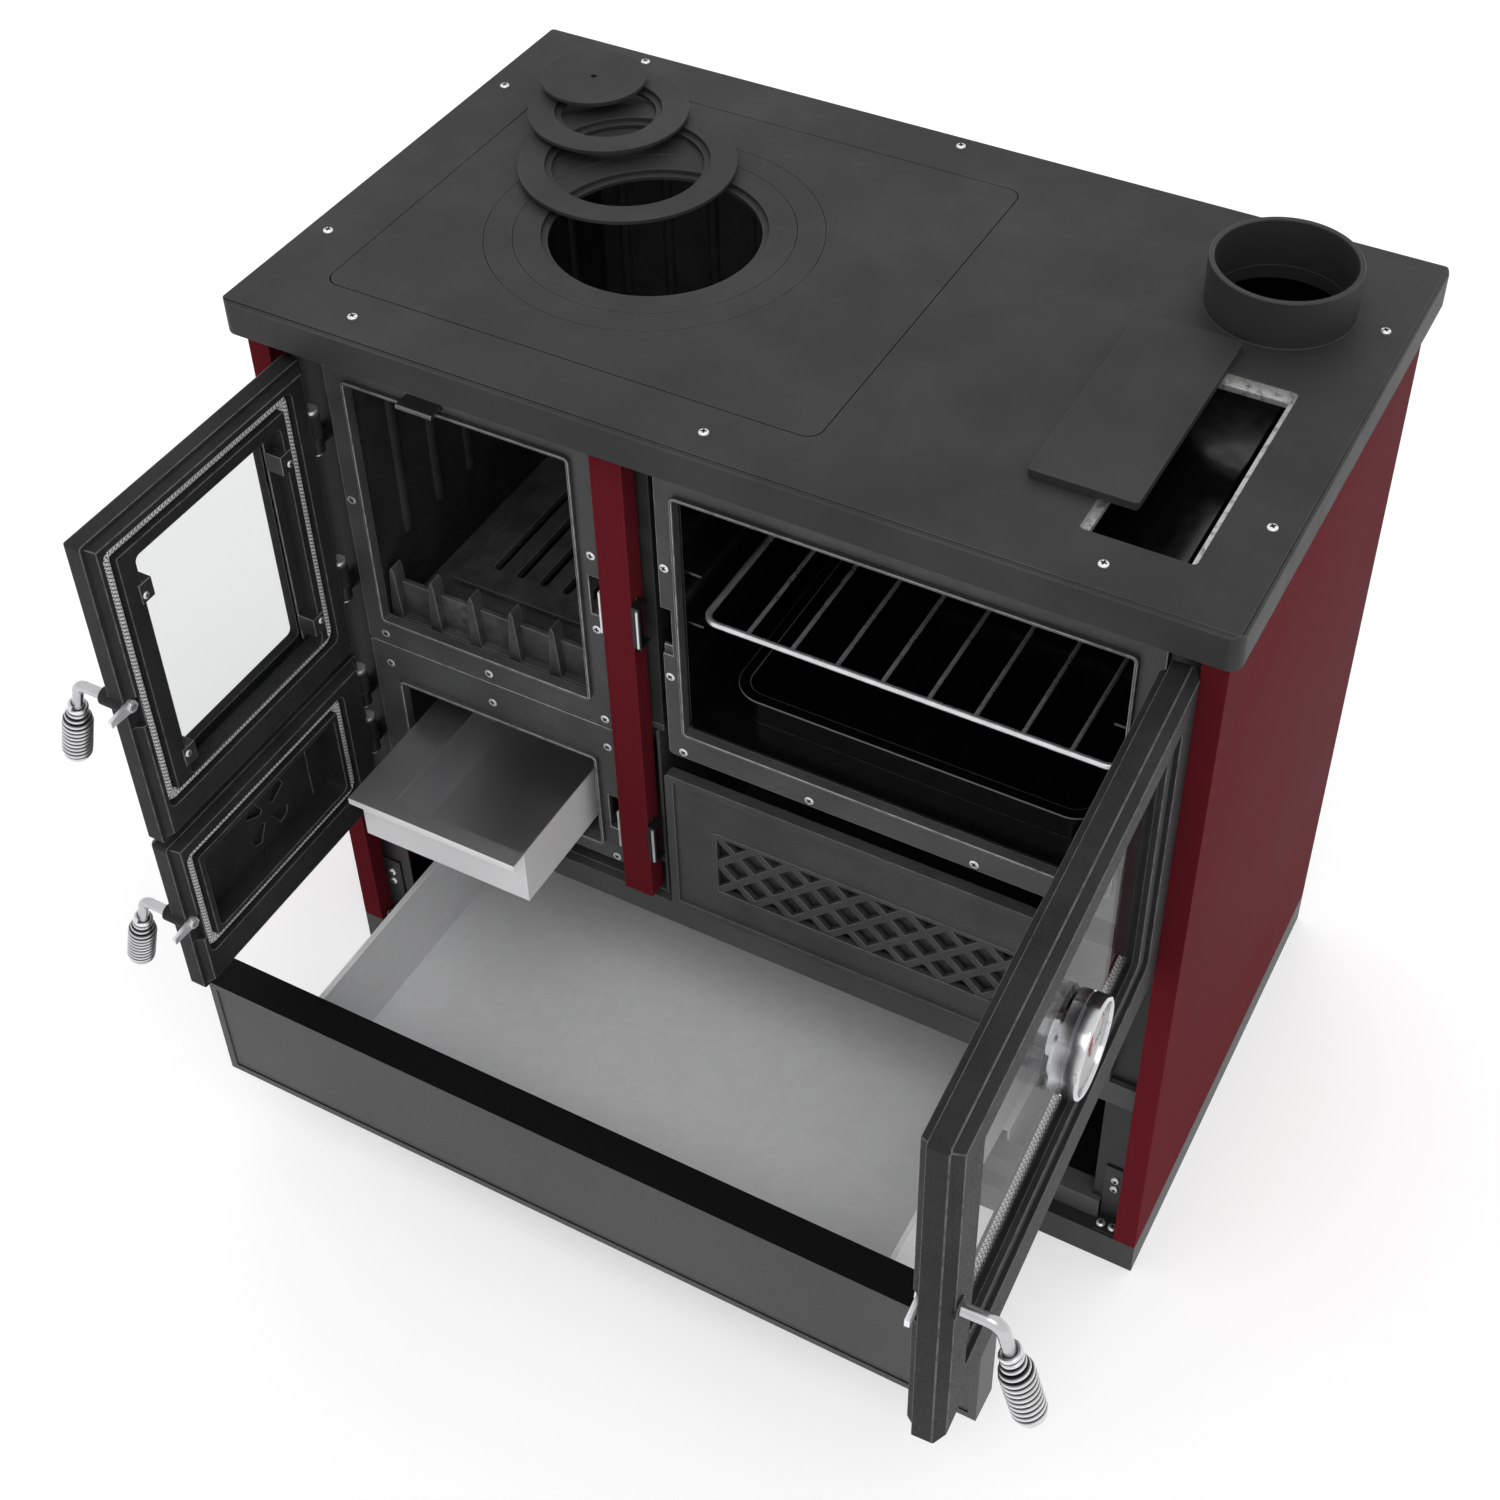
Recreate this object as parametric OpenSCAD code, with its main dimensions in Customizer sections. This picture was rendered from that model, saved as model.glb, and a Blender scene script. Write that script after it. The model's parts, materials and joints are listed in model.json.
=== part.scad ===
// Wood cookstove: firebox and ash pit on the left, oven on the right, wood drawer below.
// X runs to the right, Y to the back, Z up; the origin is on the floor under the middle of the body.

/* [Cooktop] */
// Width of the top plate
plate_w = 920; // [910:2:940]
// Depth of the top plate
plate_d = 530; // [520:2:560]
// Height of the cooking surface above the floor
worktop_h = 860; // [855:1:890]
// Depth of the top plate's edge
plate_skirt = 35; // [30:1:42]
// Thickness of the top plate
plate_t = 14; // [12:1:18]
// Thickness of the top plate's edge
skirt_t = 12; // [11:0.5:13]
// Chamfer along the top plate's upper edge
plate_chamfer = 3; // [1:0.5:5]
// Radius of the top plate's corners
plate_corner_r = 12; // [4:1:20]
// How far the top plate reaches over the side panels
side_overhang = 10; // [9:0.5:11]
// How far the top plate reaches over the front posts and the back
end_overhang = 16; // [13:1:20]

/* [Hotplate and rings] */
// Distance from the body's left side to the hotplate
hotplate_inset = 55; // [50:1:60]
// Width of the hotplate
hotplate_w = 478; // [460:2:500]
// Depth of the hotplate
hotplate_d = 405; // [390:1:420]
// Thickness of the hotplate and its rings
ring_t = 8; // [6:1:10]
// Width of each ledge that a ring sits on
ledge = 6; // [4:1:8]
// Open seam round the hotplate and each ring
seam = 0.8; // [0.5:0.1:1.5]
// Distance of the rings' centre from the body's left side
ring_inset = 269; // [264:1:274]
// Distance of the rings' centre behind the middle of the plate
ring_back = -4; // [-10:1:6]
// Seat radii in the hotplate and in each ring, from the outside in
seat_r = [151.5, 126, 101, 76, 50.5];
// Place of the lifted large ring's centre
big_ring_at = [-255, 73];
// Place of the lifted small ring's centre
small_ring_at = [-311, 132];
// Place of the lifted disc's centre
disc_at = [-347, 165];
// Air left under each lifted piece
lay_gap = 0.2; // [0.1:0.1:0.3]

/* [Flue and soot opening] */
// Distance of the flue's centre from the body's right side
flue_inset = 104; // [100:1:110]
// Distance of the flue's centre behind the middle of the plate
flue_back = 142; // [135:1:145]
// Outer diameter of the flue collar
collar_d = 130; // [120:1:150]
// Height of the flue collar
collar_h = 46; // [35:1:60]
// Wall of the flue collar
collar_wall = 5; // [4:0.5:8]
// Distance of the soot opening from the body's right side
soot_inset = 49; // [45:1:55]
// Width of the soot opening
soot_w = 94; // [80:1:100]
// Length of the soot opening
soot_l = 235; // [210:1:240]
// Distance of the soot opening's back end behind the middle of the plate
soot_back = 31; // [25:1:40]
// How far the soot cover is moved aside and back
cover_shift = [-60, 36];

/* [Body] */
// Height of the plinth
plinth_h = 40; // [35:1:40]
// Thickness of the plinth's sheet
plinth_t = 3; // [2:0.5:4]
// Width of the flange folded in along the plinth's front
plinth_flange = 30; // [24:1:40]
// Thickness of the panels' sheet
sheet_t = 2; // [1.5:0.1:2]
// Width of the front posts folded from the side panels
post_w = 22; // [20:1:23]
// Distance from the body's left side to the centre post
centre_post_inset = 347; // [344:1:350]
// Width of the centre post
centre_post_w = 31; // [28:1:33]
// Height of the centre post's lower end
centre_post_bottom = 272; // [265:1:280]
// Distance of the cast frames behind the front posts
frame_setback = 15; // [14:0.5:16]
// Thickness of the cast frames
frame_t = 6; // [5:0.5:7]
// Width of the raised lip round each opening
lip_t = 3; // [2:0.5:4]
// Height of the raised lip
lip_h = 5; // [4:0.5:5]
// Thickness of the plates behind the hinges
hinge_plate_t = 3; // [2:0.5:4]
// Height of the rail above the drawer
rail_h = 30; // [24:1:30]
// Height of that rail's lower edge
rail_bottom = 226; // [222:1:228]
// Height of the rail below the drawer
bottom_rail_h = 27; // [20:1:32]

/* [Doors] */
// Thickness of the doors
door_t = 31; // [29:1:32]
// Bevel along the doors' outer edge
door_bevel = 8; // [6:0.5:9]
// Gap between the hinge axis and the door's edge
hinge_gap = 4; // [3:0.5:5]
// Gap between the doors and the centre post
post_gap = 9; // [7:0.5:10]
// Distance of the left hinge axis from the body's side
left_hinge_inset = 52; // [50:0.5:54]
// Distance of the right hinge axis from the body's side
right_hinge_inset = 41; // [40:0.5:44]
// Height of the ash door's lower edge
ash_door_bottom = 258; // [257:0.5:262]
// Height of the ash door
ash_door_h = 196; // [190:1:198]
// Height of the fire door's lower edge
fire_door_bottom = 462; // [460:1:466]
// Gap between the fire door's top and the top plate
fire_door_gap = 17; // [12:1:24]
// Height of the oven door's lower edge
oven_door_bottom = 448; // [446:1:452]
// Gap between the oven door's top and the top plate
oven_door_gap = 19; // [12:1:24]
// Opening angle of the fire door
fire_open = 90; // [80:0.5:100]
// Opening angle of the ash door
ash_open = 90; // [80:0.5:100]
// Opening angle of the oven door
oven_open = 92.5; // [80:0.5:100]
// Width of the groove for the rope gasket
groove_w = 13; // [12:0.5:13.5]
// Depth of the groove for the rope gasket
groove_d = 12; // [10:0.5:14]
// Air between the gasket and its groove
gasket_fit = 0.3; // [0.2:0.1:0.5]
// Thickness of the door glasses
glass_t = 4; // [3:0.5:5]
// Border of the fire door beside its glass
fire_border = 46; // [44:1:52]
// Border of the oven door beside its glass
oven_border = 46; // [44:1:54]
// Width over which each glass is held
glass_hold = 8; // [6:0.5:10]
// Air round each glass
glass_fit = 0.3; // [0.2:0.1:1]

/* [Hinges and latches] */
// Radius of the hinge knuckles
knuckle_r = 8; // [7:0.5:9]
// Length of the hinge knuckles
knuckle_h = 27; // [22:1:30]
// Length of the hinge lugs on the body
lug_h = 16; // [12:1:18]
// Radius of the hinge pins
pin_r = 4; // [3:0.5:5]
// Running fit of the pins and the latch rods, on the radius
run_fit = 0.05; // [0.02:0.01:0.1]
// Height of the head and of the tail of each hinge pin
pin_end = 4; // [3:0.5:5]
// Play between a knuckle and its lug
hinge_play = 0.3; // [0.2:0.1:0.5]
// Radius of the latch rods
rod_r = 5; // [4:0.5:5]
// Distance of the left doors' latch rods from the free edge
latch_inset = 5; // [4.5:0.5:6]
// Distance of the oven door's latch rod from the free edge
oven_latch_inset = 14; // [12:0.5:14]
// Reach of the latch rods in front of the doors
rod_reach = 33; // [25:1:45]
// Radius of the rods' bend, on the centre line
bend_r = 12; // [10:1:16]
// Turn of the rods' bend
bend_turn = 74; // [60:1:85]
// Radius of the boss round each latch rod
boss_r = 8.5; // [8:0.1:8.8]
// Length of the pawls from the rod to the tip
pawl_l = 26; // [22:1:28]
// Width of the pawls
pawl_w = 12; // [9:1:12]
// Thickness of the pawls
pawl_t = 4; // [3:0.5:4]
// Outer diameter of the coil grips
grip_d = 29; // [24:1:34]
// Diameter of the coil grips' wire
wire_d = 4.6; // [3.5:0.1:5]
// Turns in each coil grip
grip_turns = 13; // [9:1:16]
// Rise of each turn
grip_pitch = 5.7; // [5.6:0.1:7]
// Distance from the bend to the coil grip
grip_start = 16; // [12:1:24]

/* [Inside] */
// Thickness of the inner boxes' sheet
box_t = 3; // [2:0.5:4]
// Thickness of the firebox lining
lining_t = 22; // [18:1:24]
// Depth of the firebox behind its frame
fire_depth = 418; // [400:1:440]
// Height of the hearth plate's top
hearth_z = 492; // [490:1:494]
// Thickness of the hearth plate and the grate
grate_t = 8; // [6:1:10]
// Number of slots in the grate
grate_slots = 6; // [3:1:6]
// Number of ribs on the log guard
guard_ribs = 7; // [4:1:8]
// Height of the log guard's ribs
guard_h = 66; // [50:1:90]
// Height of the ash pit's floor
ash_floor = 307; // [304:1:308]
// Depth of the ash pit behind its frame
ash_depth = 400; // [390:1:430]
// Depth of the oven behind its frame
oven_depth = 400; // [390:1:430]
// Height of the rack, as a share of the oven's height
rack_share = 0.482; // [0.35:0.001:0.6]
// Radius of the rack's frame wire
rack_r = 3; // [2.5:0.5:4]
// Number of cross wires in the rack
rack_wires = 8; // [4:1:12]
// Height of the baking tray
tray_h = 36; // [25:1:50]

/* [Drawer and pan] */
// Height of the drawer front's lower edge
drawer_bottom = 80; // [78:1:84]
// Height of the drawer front
drawer_h = 136; // [126:1:138]
// Depth of the drawer front
drawer_front_t = 35; // [30:1:35]
// How far the drawer is pulled out
drawer_out = 234; // [0:1:300]
// Height of the drawer body's walls
drawer_wall_h = 112; // [80:1:120]
// Length of the drawer body
drawer_l = 445; // [400:1:450]
// Width of the ash pan over its left rim
pan_w = 186; // [170:1:190]
// Width of the flange on the ash pan's left
pan_flange = 41; // [20:1:50]
// Length of the ash pan
pan_l = 330; // [300:1:350]
// Height of the ash pan
pan_h = 66; // [50:1:70]
// How far the ash pan is pulled out
pan_out = 139; // [0:1:160]

/* [Draught] */
// How far the draught slide stands out of the fire frame
slide_out = 12; // [0:0.5:16]

/* [Hidden] */
$fn = 64;
small_fn = 32;
round_fn = 96;
eps = 0.01;

// Body planes
body_l = side_overhang - plate_w / 2;
body_r = -body_l;
body_f = end_overhang - plate_d / 2;
body_b = -body_f;
body_top = worktop_h - plate_skirt;
plate_under = worktop_h - plate_t;
frame_y = body_f + frame_setback;
frame_back = frame_y + frame_t;
lip_y = frame_y - lip_h;
inner_l = body_l + post_w;
inner_r = body_r - post_w;
post_l = body_l + centre_post_inset;
post_r = post_l + centre_post_w;
shelf_z = rail_bottom + rail_h;
rail_flange = 24;

// Doors: front and back planes, hinge axes and outlines as [left, right, bottom, top]
door_proud = 17;
door_step = 7;
door_front = body_f - door_proud;
door_back = door_front + door_t;
door_edge_f = door_front + door_bevel;
door_edge_b = door_back - door_step;
axis_y = door_edge_b - 3;
axis_l = body_l + left_hinge_inset;
axis_r = body_r - right_hinge_inset;
fire_box = [axis_l + hinge_gap, post_l - post_gap, fire_door_bottom, body_top - fire_door_gap];
ash_box = [fire_box[0], fire_box[1], ash_door_bottom, ash_door_bottom + ash_door_h];
oven_box_out = [post_r + post_gap, axis_r - hinge_gap, oven_door_bottom, body_top - oven_door_gap];
fire_door_h = fire_box[3] - fire_box[2];
oven_door_h = oven_box_out[3] - oven_box_out[2];

// Raised lips as [left, right, bottom, top], measured in from each door's outline
function inset_box(b, i) = [b[0] + i[0], b[1] - i[1], b[2] + i[2], b[3] - i[3]];
fire_lip = inset_box(fire_box, [30, 19, 41, 21]);
ash_lip = inset_box(ash_box, [39, 19, 47, 26]);
oven_lip = inset_box(oven_box_out, [28, 28, 55, 23]);
left_frames = [inner_l + 43, post_r - 4];
fire_edge = [left_frames[0], left_frames[1], fire_door_bottom + 10, plate_under];
ash_edge = [left_frames[0], left_frames[1], ash_door_bottom + 27, fire_door_bottom + 8];
oven_edge = [post_r + 20, inner_r - 30, oven_door_bottom + 22, plate_under];
corner_r = 6;
frame_corner_r = 4;

// Hinges: heights of the pins' heads, as shares of each door's height
fire_hinges = [for (share = [0.832, 0.321]) round(fire_door_bottom + share * fire_door_h)];
ash_hinges = [for (share = [0.893, 0.561]) round(ash_door_bottom + share * ash_door_h)];
oven_hinges = [for (share = [0.81, 0.279]) round(oven_door_bottom + share * oven_door_h)];
head_r = knuckle_r - 1;
hinge_h = 2 * pin_end + knuckle_h + lug_h + hinge_play;
hinge_clear = 0.8;
seal_gap = 0.5;

// Latches
latch_share = [0.491, 0.48, 0.469];
fire_latch = [fire_box[1] - latch_inset, round(fire_door_bottom + latch_share[0] * fire_door_h)];
ash_latch = [ash_box[1] - latch_inset, round(ash_door_bottom + latch_share[1] * ash_door_h)];
oven_latch = [oven_box_out[0] + oven_latch_inset, round(oven_door_bottom + latch_share[2] * oven_door_h)];
hub_r = 6;
pawl_gap = 0.3;
pawl_y = door_edge_b + pawl_gap;
bend_y = door_front - rod_reach + bend_r;
grip_l = grip_turns * grip_pitch;
coil_r = (grip_d - wire_d) / 2;
neck_r = rod_r + wire_d / 2 + 0.3;
core_l = grip_start + grip_l;
tail_r = rod_r - 1.5;
bend_swell = 0.1;
joint_lap = 0.5;
slot_h = 45;
slot_drop = 20;

// Hotplate, rings and soot opening
hot_l = body_l + hotplate_inset;
hot_r = hot_l + hotplate_w;
ring_x = body_l + ring_inset;
flue_x = body_r - flue_inset;
soot_r = body_r - soot_inset;
soot_box = [soot_r - soot_w, soot_r, soot_back - soot_l, soot_back];
hot_corner_r = 14;

// Firebox, ash pit and oven
fire_in_l = fire_lip[0] - 2;
fire_in_r = post_r - 12;
fire_back = frame_back + fire_depth;
box_front = frame_back + hinge_plate_t;
lining_top = plate_under - 20;
oven_in = [oven_lip[0] + lip_t + 2, oven_lip[1] - lip_t - 2, oven_lip[2] + lip_t + 2, oven_lip[3] - lip_t + 2];
oven_back = frame_back + oven_depth;
oven_in_h = oven_in[3] - oven_in[2];
rack_z = oven_in[2] + round(rack_share * oven_in_h);
rack_step = round(0.2 * oven_in_h);
rack_x = [oven_in[0] + 10, oven_in[1] - 1];
rack_front = frame_y + 9;
rack_y = [rack_front, rack_front + oven_depth - 30];

// Draught slide in its slot above the fire frame's lip
curl_r = 3;
slide_t = 2;
slide_fit = 0.3;
slide_x = [fire_lip[0] + 68, fire_lip[0] + 105];
slide_z = fire_lip[3] + curl_r + 4 * slide_fit;

// Ash pan and drawer
pan_z = ash_floor + 13;
pan_x = (ash_lip[0] + ash_lip[1]) / 2 + 0.5;
pan_front = frame_y + 15 - pan_out;
drawer_x = [inner_l + 2, inner_r - 32];
drawer_y = door_front - drawer_out;
drawer_box_x = [-333, 292];
drawer_sink = 1.5;
bracket_w = 22;
bracket_t = 2.2;
screw_r = 4.5;
screw_h = 2.2;
flush_h = 0.6;
runner_top = drawer_bottom + 3;
glass_y = door_front + 10;

// Colours
burgundy = [0.42, 0.19, 0.21];
charcoal = [0.26, 0.26, 0.27];
iron = [0.3, 0.3, 0.31];
black = [0.12, 0.12, 0.12];
zinc = [0.68, 0.69, 0.7];
chrome = [0.85, 0.85, 0.86];
rope = [0.62, 0.62, 0.6];

// Basic shapes

// Block between two corners
module block(x, y, z) {
    translate([x[0], y[0], z[0]])
        cube([x[1] - x[0], y[1] - y[0], z[1] - z[0]]);
}

// Flat rectangle b = [left, right, near, far] with round corners
module round_rect(b, r) {
    translate([b[0] + r, b[2]])
        square([b[1] - b[0] - 2 * r, b[3] - b[2]]);
    translate([b[0], b[2] + r])
        square([b[1] - b[0], b[3] - b[2] - 2 * r]);
    for (x = [b[0] + r, b[1] - r], y = [b[2] + r, b[3] - r])
        translate([x, y])
            circle(r = r, $fn = small_fn);
}

function grow(b, d) = [b[0] - d, b[1] + d, b[2] - d, b[3] + d];

// Ring-shaped outline between a rectangle and the same one drawn in by w
module ring_rect(b, w, r) {
    difference() {
        round_rect(b, r);
        round_rect(grow(b, -w), max(r - w, 1));
    }
}

// Stands an XZ outline up between two Y planes
module upright(y) {
    translate([0, y[1], 0])
        rotate([90, 0, 0])
            linear_extrude(y[1] - y[0])
                children();
}

// Extrudes a YZ outline along X
module along_x(x) {
    translate([x[0], 0, 0])
        rotate([90, 0, 90])
            linear_extrude(x[1] - x[0])
                children();
}

// Slot outline with round ends, standing in XZ or lying in XY
module slot_shape(at, size) {
    r = min(size) / 2;
    round_rect([at[0] - size[0] / 2, at[0] + size[0] / 2, at[1] - size[1] / 2, at[1] + size[1] / 2], r - eps);
}

// Cylinder that points to the front, from y[1] to y[0]
module peg(at, r, y) {
    translate([at[0], y[1], at[1]])
        rotate([90, 0, 0])
            cylinder(h = y[1] - y[0], r = r);
}

// Turns a closed door's parts about its hinge axis
module swing(axis_x, angle) {
    translate([axis_x, axis_y, 0])
        rotate([0, 0, angle])
            translate([-axis_x, -axis_y, 0])
                children();
}

module fire_swing() { swing(axis_l, -fire_open) children(); }

module ash_swing() { swing(axis_l, -ash_open) children(); }

module oven_swing() { swing(axis_r, oven_open) children(); }

// Carcass

// Tray with a flange folded in along its front
module plinth() {
    color(black)
        difference() {
            block([body_l, body_r], [body_f, body_b], [0, plinth_h]);
            block([body_l + plinth_t, body_r - plinth_t], [body_f + plinth_t, body_b - plinth_t],
                [plinth_t, plinth_h - plinth_t]);
            block([body_l + plinth_t, body_r - plinth_t], [body_f + plinth_flange, body_b - plinth_t],
                [plinth_t, plinth_h + 1]);
        }
}

// Side panel with its front post folded in and back
module side_panel() {
    z = [plinth_h, body_top];
    block([body_l, body_l + sheet_t], [body_f, body_b], z);
    block([body_l, inner_l], [body_f, body_f + sheet_t], z);
    block([inner_l - sheet_t, inner_l], [body_f, frame_back], z);
}

module left_side_panel() { color(burgundy) side_panel(); }

module right_side_panel() { color(burgundy) mirror([1, 0, 0]) side_panel(); }

// Channel between the doors, slotted on both sides for the pawls
module centre_post() {
    z = [centre_post_bottom, body_top];
    slots = [fire_latch[1], ash_latch[1], oven_latch[1]];
    color(burgundy)
        difference() {
            union() {
                block([post_l, post_r], [body_f, body_f + sheet_t], z);
                block([post_l, post_l + sheet_t], [body_f, frame_y], z);
                block([post_r - sheet_t, post_r], [body_f, frame_back - 1], z);
            }
            for (h = slots)
                block([post_l - 1, post_r + 1], [body_f + sheet_t + 1, frame_y - 1],
                    [h - slot_drop, h - slot_drop + slot_h]);
        }
}

module back_panel() {
    vents = 9;
    vent_step = 70;
    vent = [40, 8];
    y = [body_b - sheet_t, body_b];
    inner = [body_l + sheet_t, body_r - sheet_t];
    color(black)
        difference() {
            block(inner, y, [plinth_h, plate_under]);
            for (i = [0 : vents - 1], z = [plinth_h + 40, body_top - 40])
                upright([y[0] - 1, y[1] + 1])
                    slot_shape([(i - (vents - 1) / 2) * vent_step, z], vent);
        }
}

// Arm and eye that carry a hinge pin, below the door's knuckle
module hinge_lug(axis_x, side, top) {
    z1 = top - pin_end - knuckle_h - hinge_play;
    arm = side > 0 ? [axis_x - knuckle_r, axis_x] : [axis_x, axis_x + knuckle_r];
    difference() {
        union() {
            translate([axis_x, axis_y, z1 - lug_h])
                cylinder(h = lug_h, r = knuckle_r);
            block(arm, [axis_y, frame_back + 1], [z1 - lug_h, z1]);
        }
        translate([axis_x, axis_y, z1 - lug_h - 1])
            cylinder(h = lug_h + 2, r = pin_r + run_fit);
    }
}

module hinge_plates() {
    z = [plinth_h + bottom_rail_h + 1, plate_under];
    y = [frame_back, frame_back + hinge_plate_t];
    beside_drawer = 60;
    lap = 10;
    color(iron) {
        union() {
            block([body_l + sheet_t, fire_edge[0] + lap], y, [shelf_z, z[1]]);
            block([body_l + sheet_t, drawer_box_x[0] - beside_drawer], y, [z[0], shelf_z + eps]);
            for (h = concat(fire_hinges, ash_hinges))
                hinge_lug(axis_l, 1, h);
        }
        union() {
            block([oven_edge[1] - lap, body_r - sheet_t], y, [shelf_z, z[1]]);
            block([oven_edge[1] - 2, body_r - sheet_t], y, [z[0], shelf_z + eps]);
            for (h = oven_hinges)
                hinge_lug(axis_r, -1, h);
        }
    }
}

// Bent brackets that tie the hinge plates to the plinth
module corner_brackets() {
    leg_t = bracket_t;
    leg_h = 84;
    x = [inner_r - bracket_w, inner_r];
    color(black)
        for (side = [0, 1])
            mirror([side, 0, 0]) {
                block(x, [frame_back - leg_t, frame_back], [plinth_h, plinth_h + leg_h]);
                block(x, [body_f + sheet_t, frame_back], [plinth_h, plinth_h + leg_t]);
            }
}

// Rails above and below the drawer, each with a flange folded back
module front_rails() {
    x = [inner_l, inner_r];
    inner_x = [inner_l + bracket_w + seam, inner_r - bracket_w - seam];
    low = [plinth_h, plinth_h + bottom_rail_h];
    color(iron) {
        union() {
            block(x, [frame_y, frame_y + sheet_t], [rail_bottom, shelf_z]);
            block(x, [frame_y, frame_back], [shelf_z - sheet_t, shelf_z]);
            block([fire_edge[0], oven_edge[1] - 3], [frame_y, frame_y + rail_flange], [shelf_z - sheet_t, shelf_z]);
        }
        union() {
            block(inner_x, [frame_y, frame_y + sheet_t], low);
            block(inner_x, [frame_y, frame_y + rail_flange], [low[1] - sheet_t, low[1]]);
        }
    }
}

// Sheet over the wood bay that carries the ash pit
module shelf_sheet() {
    color(iron)
        block([body_l + sheet_t, body_r - sheet_t], [frame_back + hinge_plate_t, body_b - sheet_t],
            [shelf_z, shelf_z + sheet_t]);
}

// Channels that the drawer body slides on
module drawer_runners() {
    w = 20;
    top = runner_top - lay_gap;
    y = [frame_y + rail_flange, body_b - plinth_t - 1];
    color(zinc)
        for (x = [drawer_box_x[0] - 6, drawer_box_x[1] + 6 - w])
            difference() {
                block([x, x + w], y, [plinth_t, top]);
                block([x + sheet_t, x + w - sheet_t], [y[0] - 1, y[1] + 1], [plinth_t - 1, top - sheet_t]);
            }
}

// Cast frames

// Frame plate with a raised lip and a sleeve round its opening
module cast_frame(edge, lip) {
    difference() {
        union() {
            upright([frame_y, frame_back])
                round_rect(edge, frame_corner_r);
            upright([lip_y, frame_y + eps])
                round_rect(lip, corner_r);
        }
        upright([lip_y - 1, frame_back + 1])
            round_rect(grow(lip, -lip_t), corner_r - lip_t);
    }
}

// Slot that the pawl's end turns in
module latch_slot(at, w) {
    block([at[0] - hub_r - 1, at[0] - hub_r - 1 + w], [frame_y - 1, frame_back + 1],
        [at[1] - slot_drop, at[1] - slot_drop + slot_h]);
}

module fire_frame() {
    color(iron)
        difference() {
            cast_frame(fire_edge, fire_lip);
            latch_slot(fire_latch, post_l - fire_latch[0] + hub_r);
            block([slide_x[0] - slide_fit, slide_x[1] + slide_fit], [frame_y - 1, frame_back + 1],
                [slide_z - curl_r - slide_fit, slide_z + curl_r + slide_fit]);
        }
}

module ash_frame() {
    color(iron)
        difference() {
            cast_frame(ash_edge, ash_lip);
            latch_slot(ash_latch, post_l - ash_latch[0] + hub_r);
        }
}

module oven_frame() {
    x = [oven_edge[0] - 1, oven_latch[0] + hub_r + 1];
    slot_z = oven_latch[1] - slot_drop + 9;
    recess = 3;
    color(iron)
        difference() {
            cast_frame(oven_edge, oven_lip);
            block(x, [frame_y - 1, frame_back + 1], [slot_z, slot_z + slot_h]);
            block(x, [frame_y - 1, frame_y + recess], [oven_latch[1] - slot_drop, oven_latch[1] + slot_drop]);
        }
}

// Cast panel under the oven with a window of crossed bars
module lattice_panel() {
    b = [oven_edge[0] - 4, oven_edge[1] + 2, shelf_z + 6, oven_edge[2] - 25];
    face = frame_y - 3;
    bead = 5;
    rim = 9;
    rim_h = 3;
    columns = 9;
    rows = 2;
    bar_w = 8;
    win = inset_box(b, [52, 52, 44, 63]);
    cell = [(win[1] - win[0]) / columns, (win[3] - win[2]) / rows];
    bar_l = norm([win[1] - win[0], win[3] - win[2]]);
    lean = atan2(cell[1], cell[0]);
    color(iron) {
        difference() {
            union() {
                upright([face, frame_back])
                    round_rect(b, frame_corner_r);
                upright([face - rim_h, face + eps])
                    ring_rect(b, rim, frame_corner_r);
                upright([face - 1, face + eps])
                    ring_rect(grow(win, bead), bead, frame_corner_r);
            }
            upright([face - rim_h - 1, frame_back + 1])
                difference() {
                    translate([win[0], win[2]])
                        square([win[1] - win[0], win[3] - win[2]]);
                    for (i = [-rows : columns], s = [-1, 1])
                        translate([win[0] + (i + rows / 2) * cell[0], (win[2] + win[3]) / 2])
                            rotate(s * lean)
                                square([bar_l, bar_w], center = true);
                }
            block([b[0] + rim, b[1] - rim], [frame_back - 3, frame_back + 1], [b[2] + rim, b[3] - rim]);
        }
    }
}

// Firebox

// One upright rib with round ends, set into a lining's face
module lining_rib(h) {
    r = 7;
    translate([0, 0, r])
        sphere(r = r, $fn = small_fn);
    translate([0, 0, r])
        cylinder(h = h - 2 * r, r = r, $fn = small_fn);
    translate([0, 0, h - r])
        sphere(r = r, $fn = small_fn);
}

module firebox_linings() {
    rib_step = 52;
    rib_z = hearth_z + 74;
    rib_top = 12;
    rib_h = lining_top - rib_z - rib_top;
    proud = 3;
    out = [fire_in_l - lining_t, fire_in_r + lining_t];
    color(iron)
        union() {
            difference() {
                block(out, [box_front, fire_back + lining_t], [hearth_z, lining_top]);
                block([fire_in_l, fire_in_r], [frame_back - 1, fire_back], [hearth_z - 1, lining_top + 1]);
            }
            for (x = [fire_in_l + rib_step / 2 : rib_step : fire_in_r - rib_step / 4])
                translate([x, fire_back + proud, rib_z])
                    lining_rib(rib_h);
            for (y = [frame_back + rib_step : rib_step : fire_back - rib_step / 2],
                x = [fire_in_l - proud, fire_in_r + proud])
                translate([x, y, rib_z])
                    lining_rib(rib_h);
        }
}

grate_inset = [25, 65];
grate_front = 76;
grate_l = 280;
grate_x = [fire_in_l + grate_inset[0], fire_in_r - grate_inset[1]];
grate_y = [frame_back + grate_front, frame_back + grate_front + grate_l];

// Floor of the firebox, open under the grate
module hearth_plate() {
    rest = 9;
    color(iron)
        difference() {
            block([fire_in_l - lining_t, fire_in_r + lining_t], [box_front, fire_back + lining_t],
                [hearth_z - grate_t, hearth_z]);
            block([grate_x[0] + rest, grate_x[1] - rest], [grate_y[0] + rest, grate_y[1] - rest],
                [hearth_z - grate_t - 1, hearth_z + 1]);
        }
}

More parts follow.
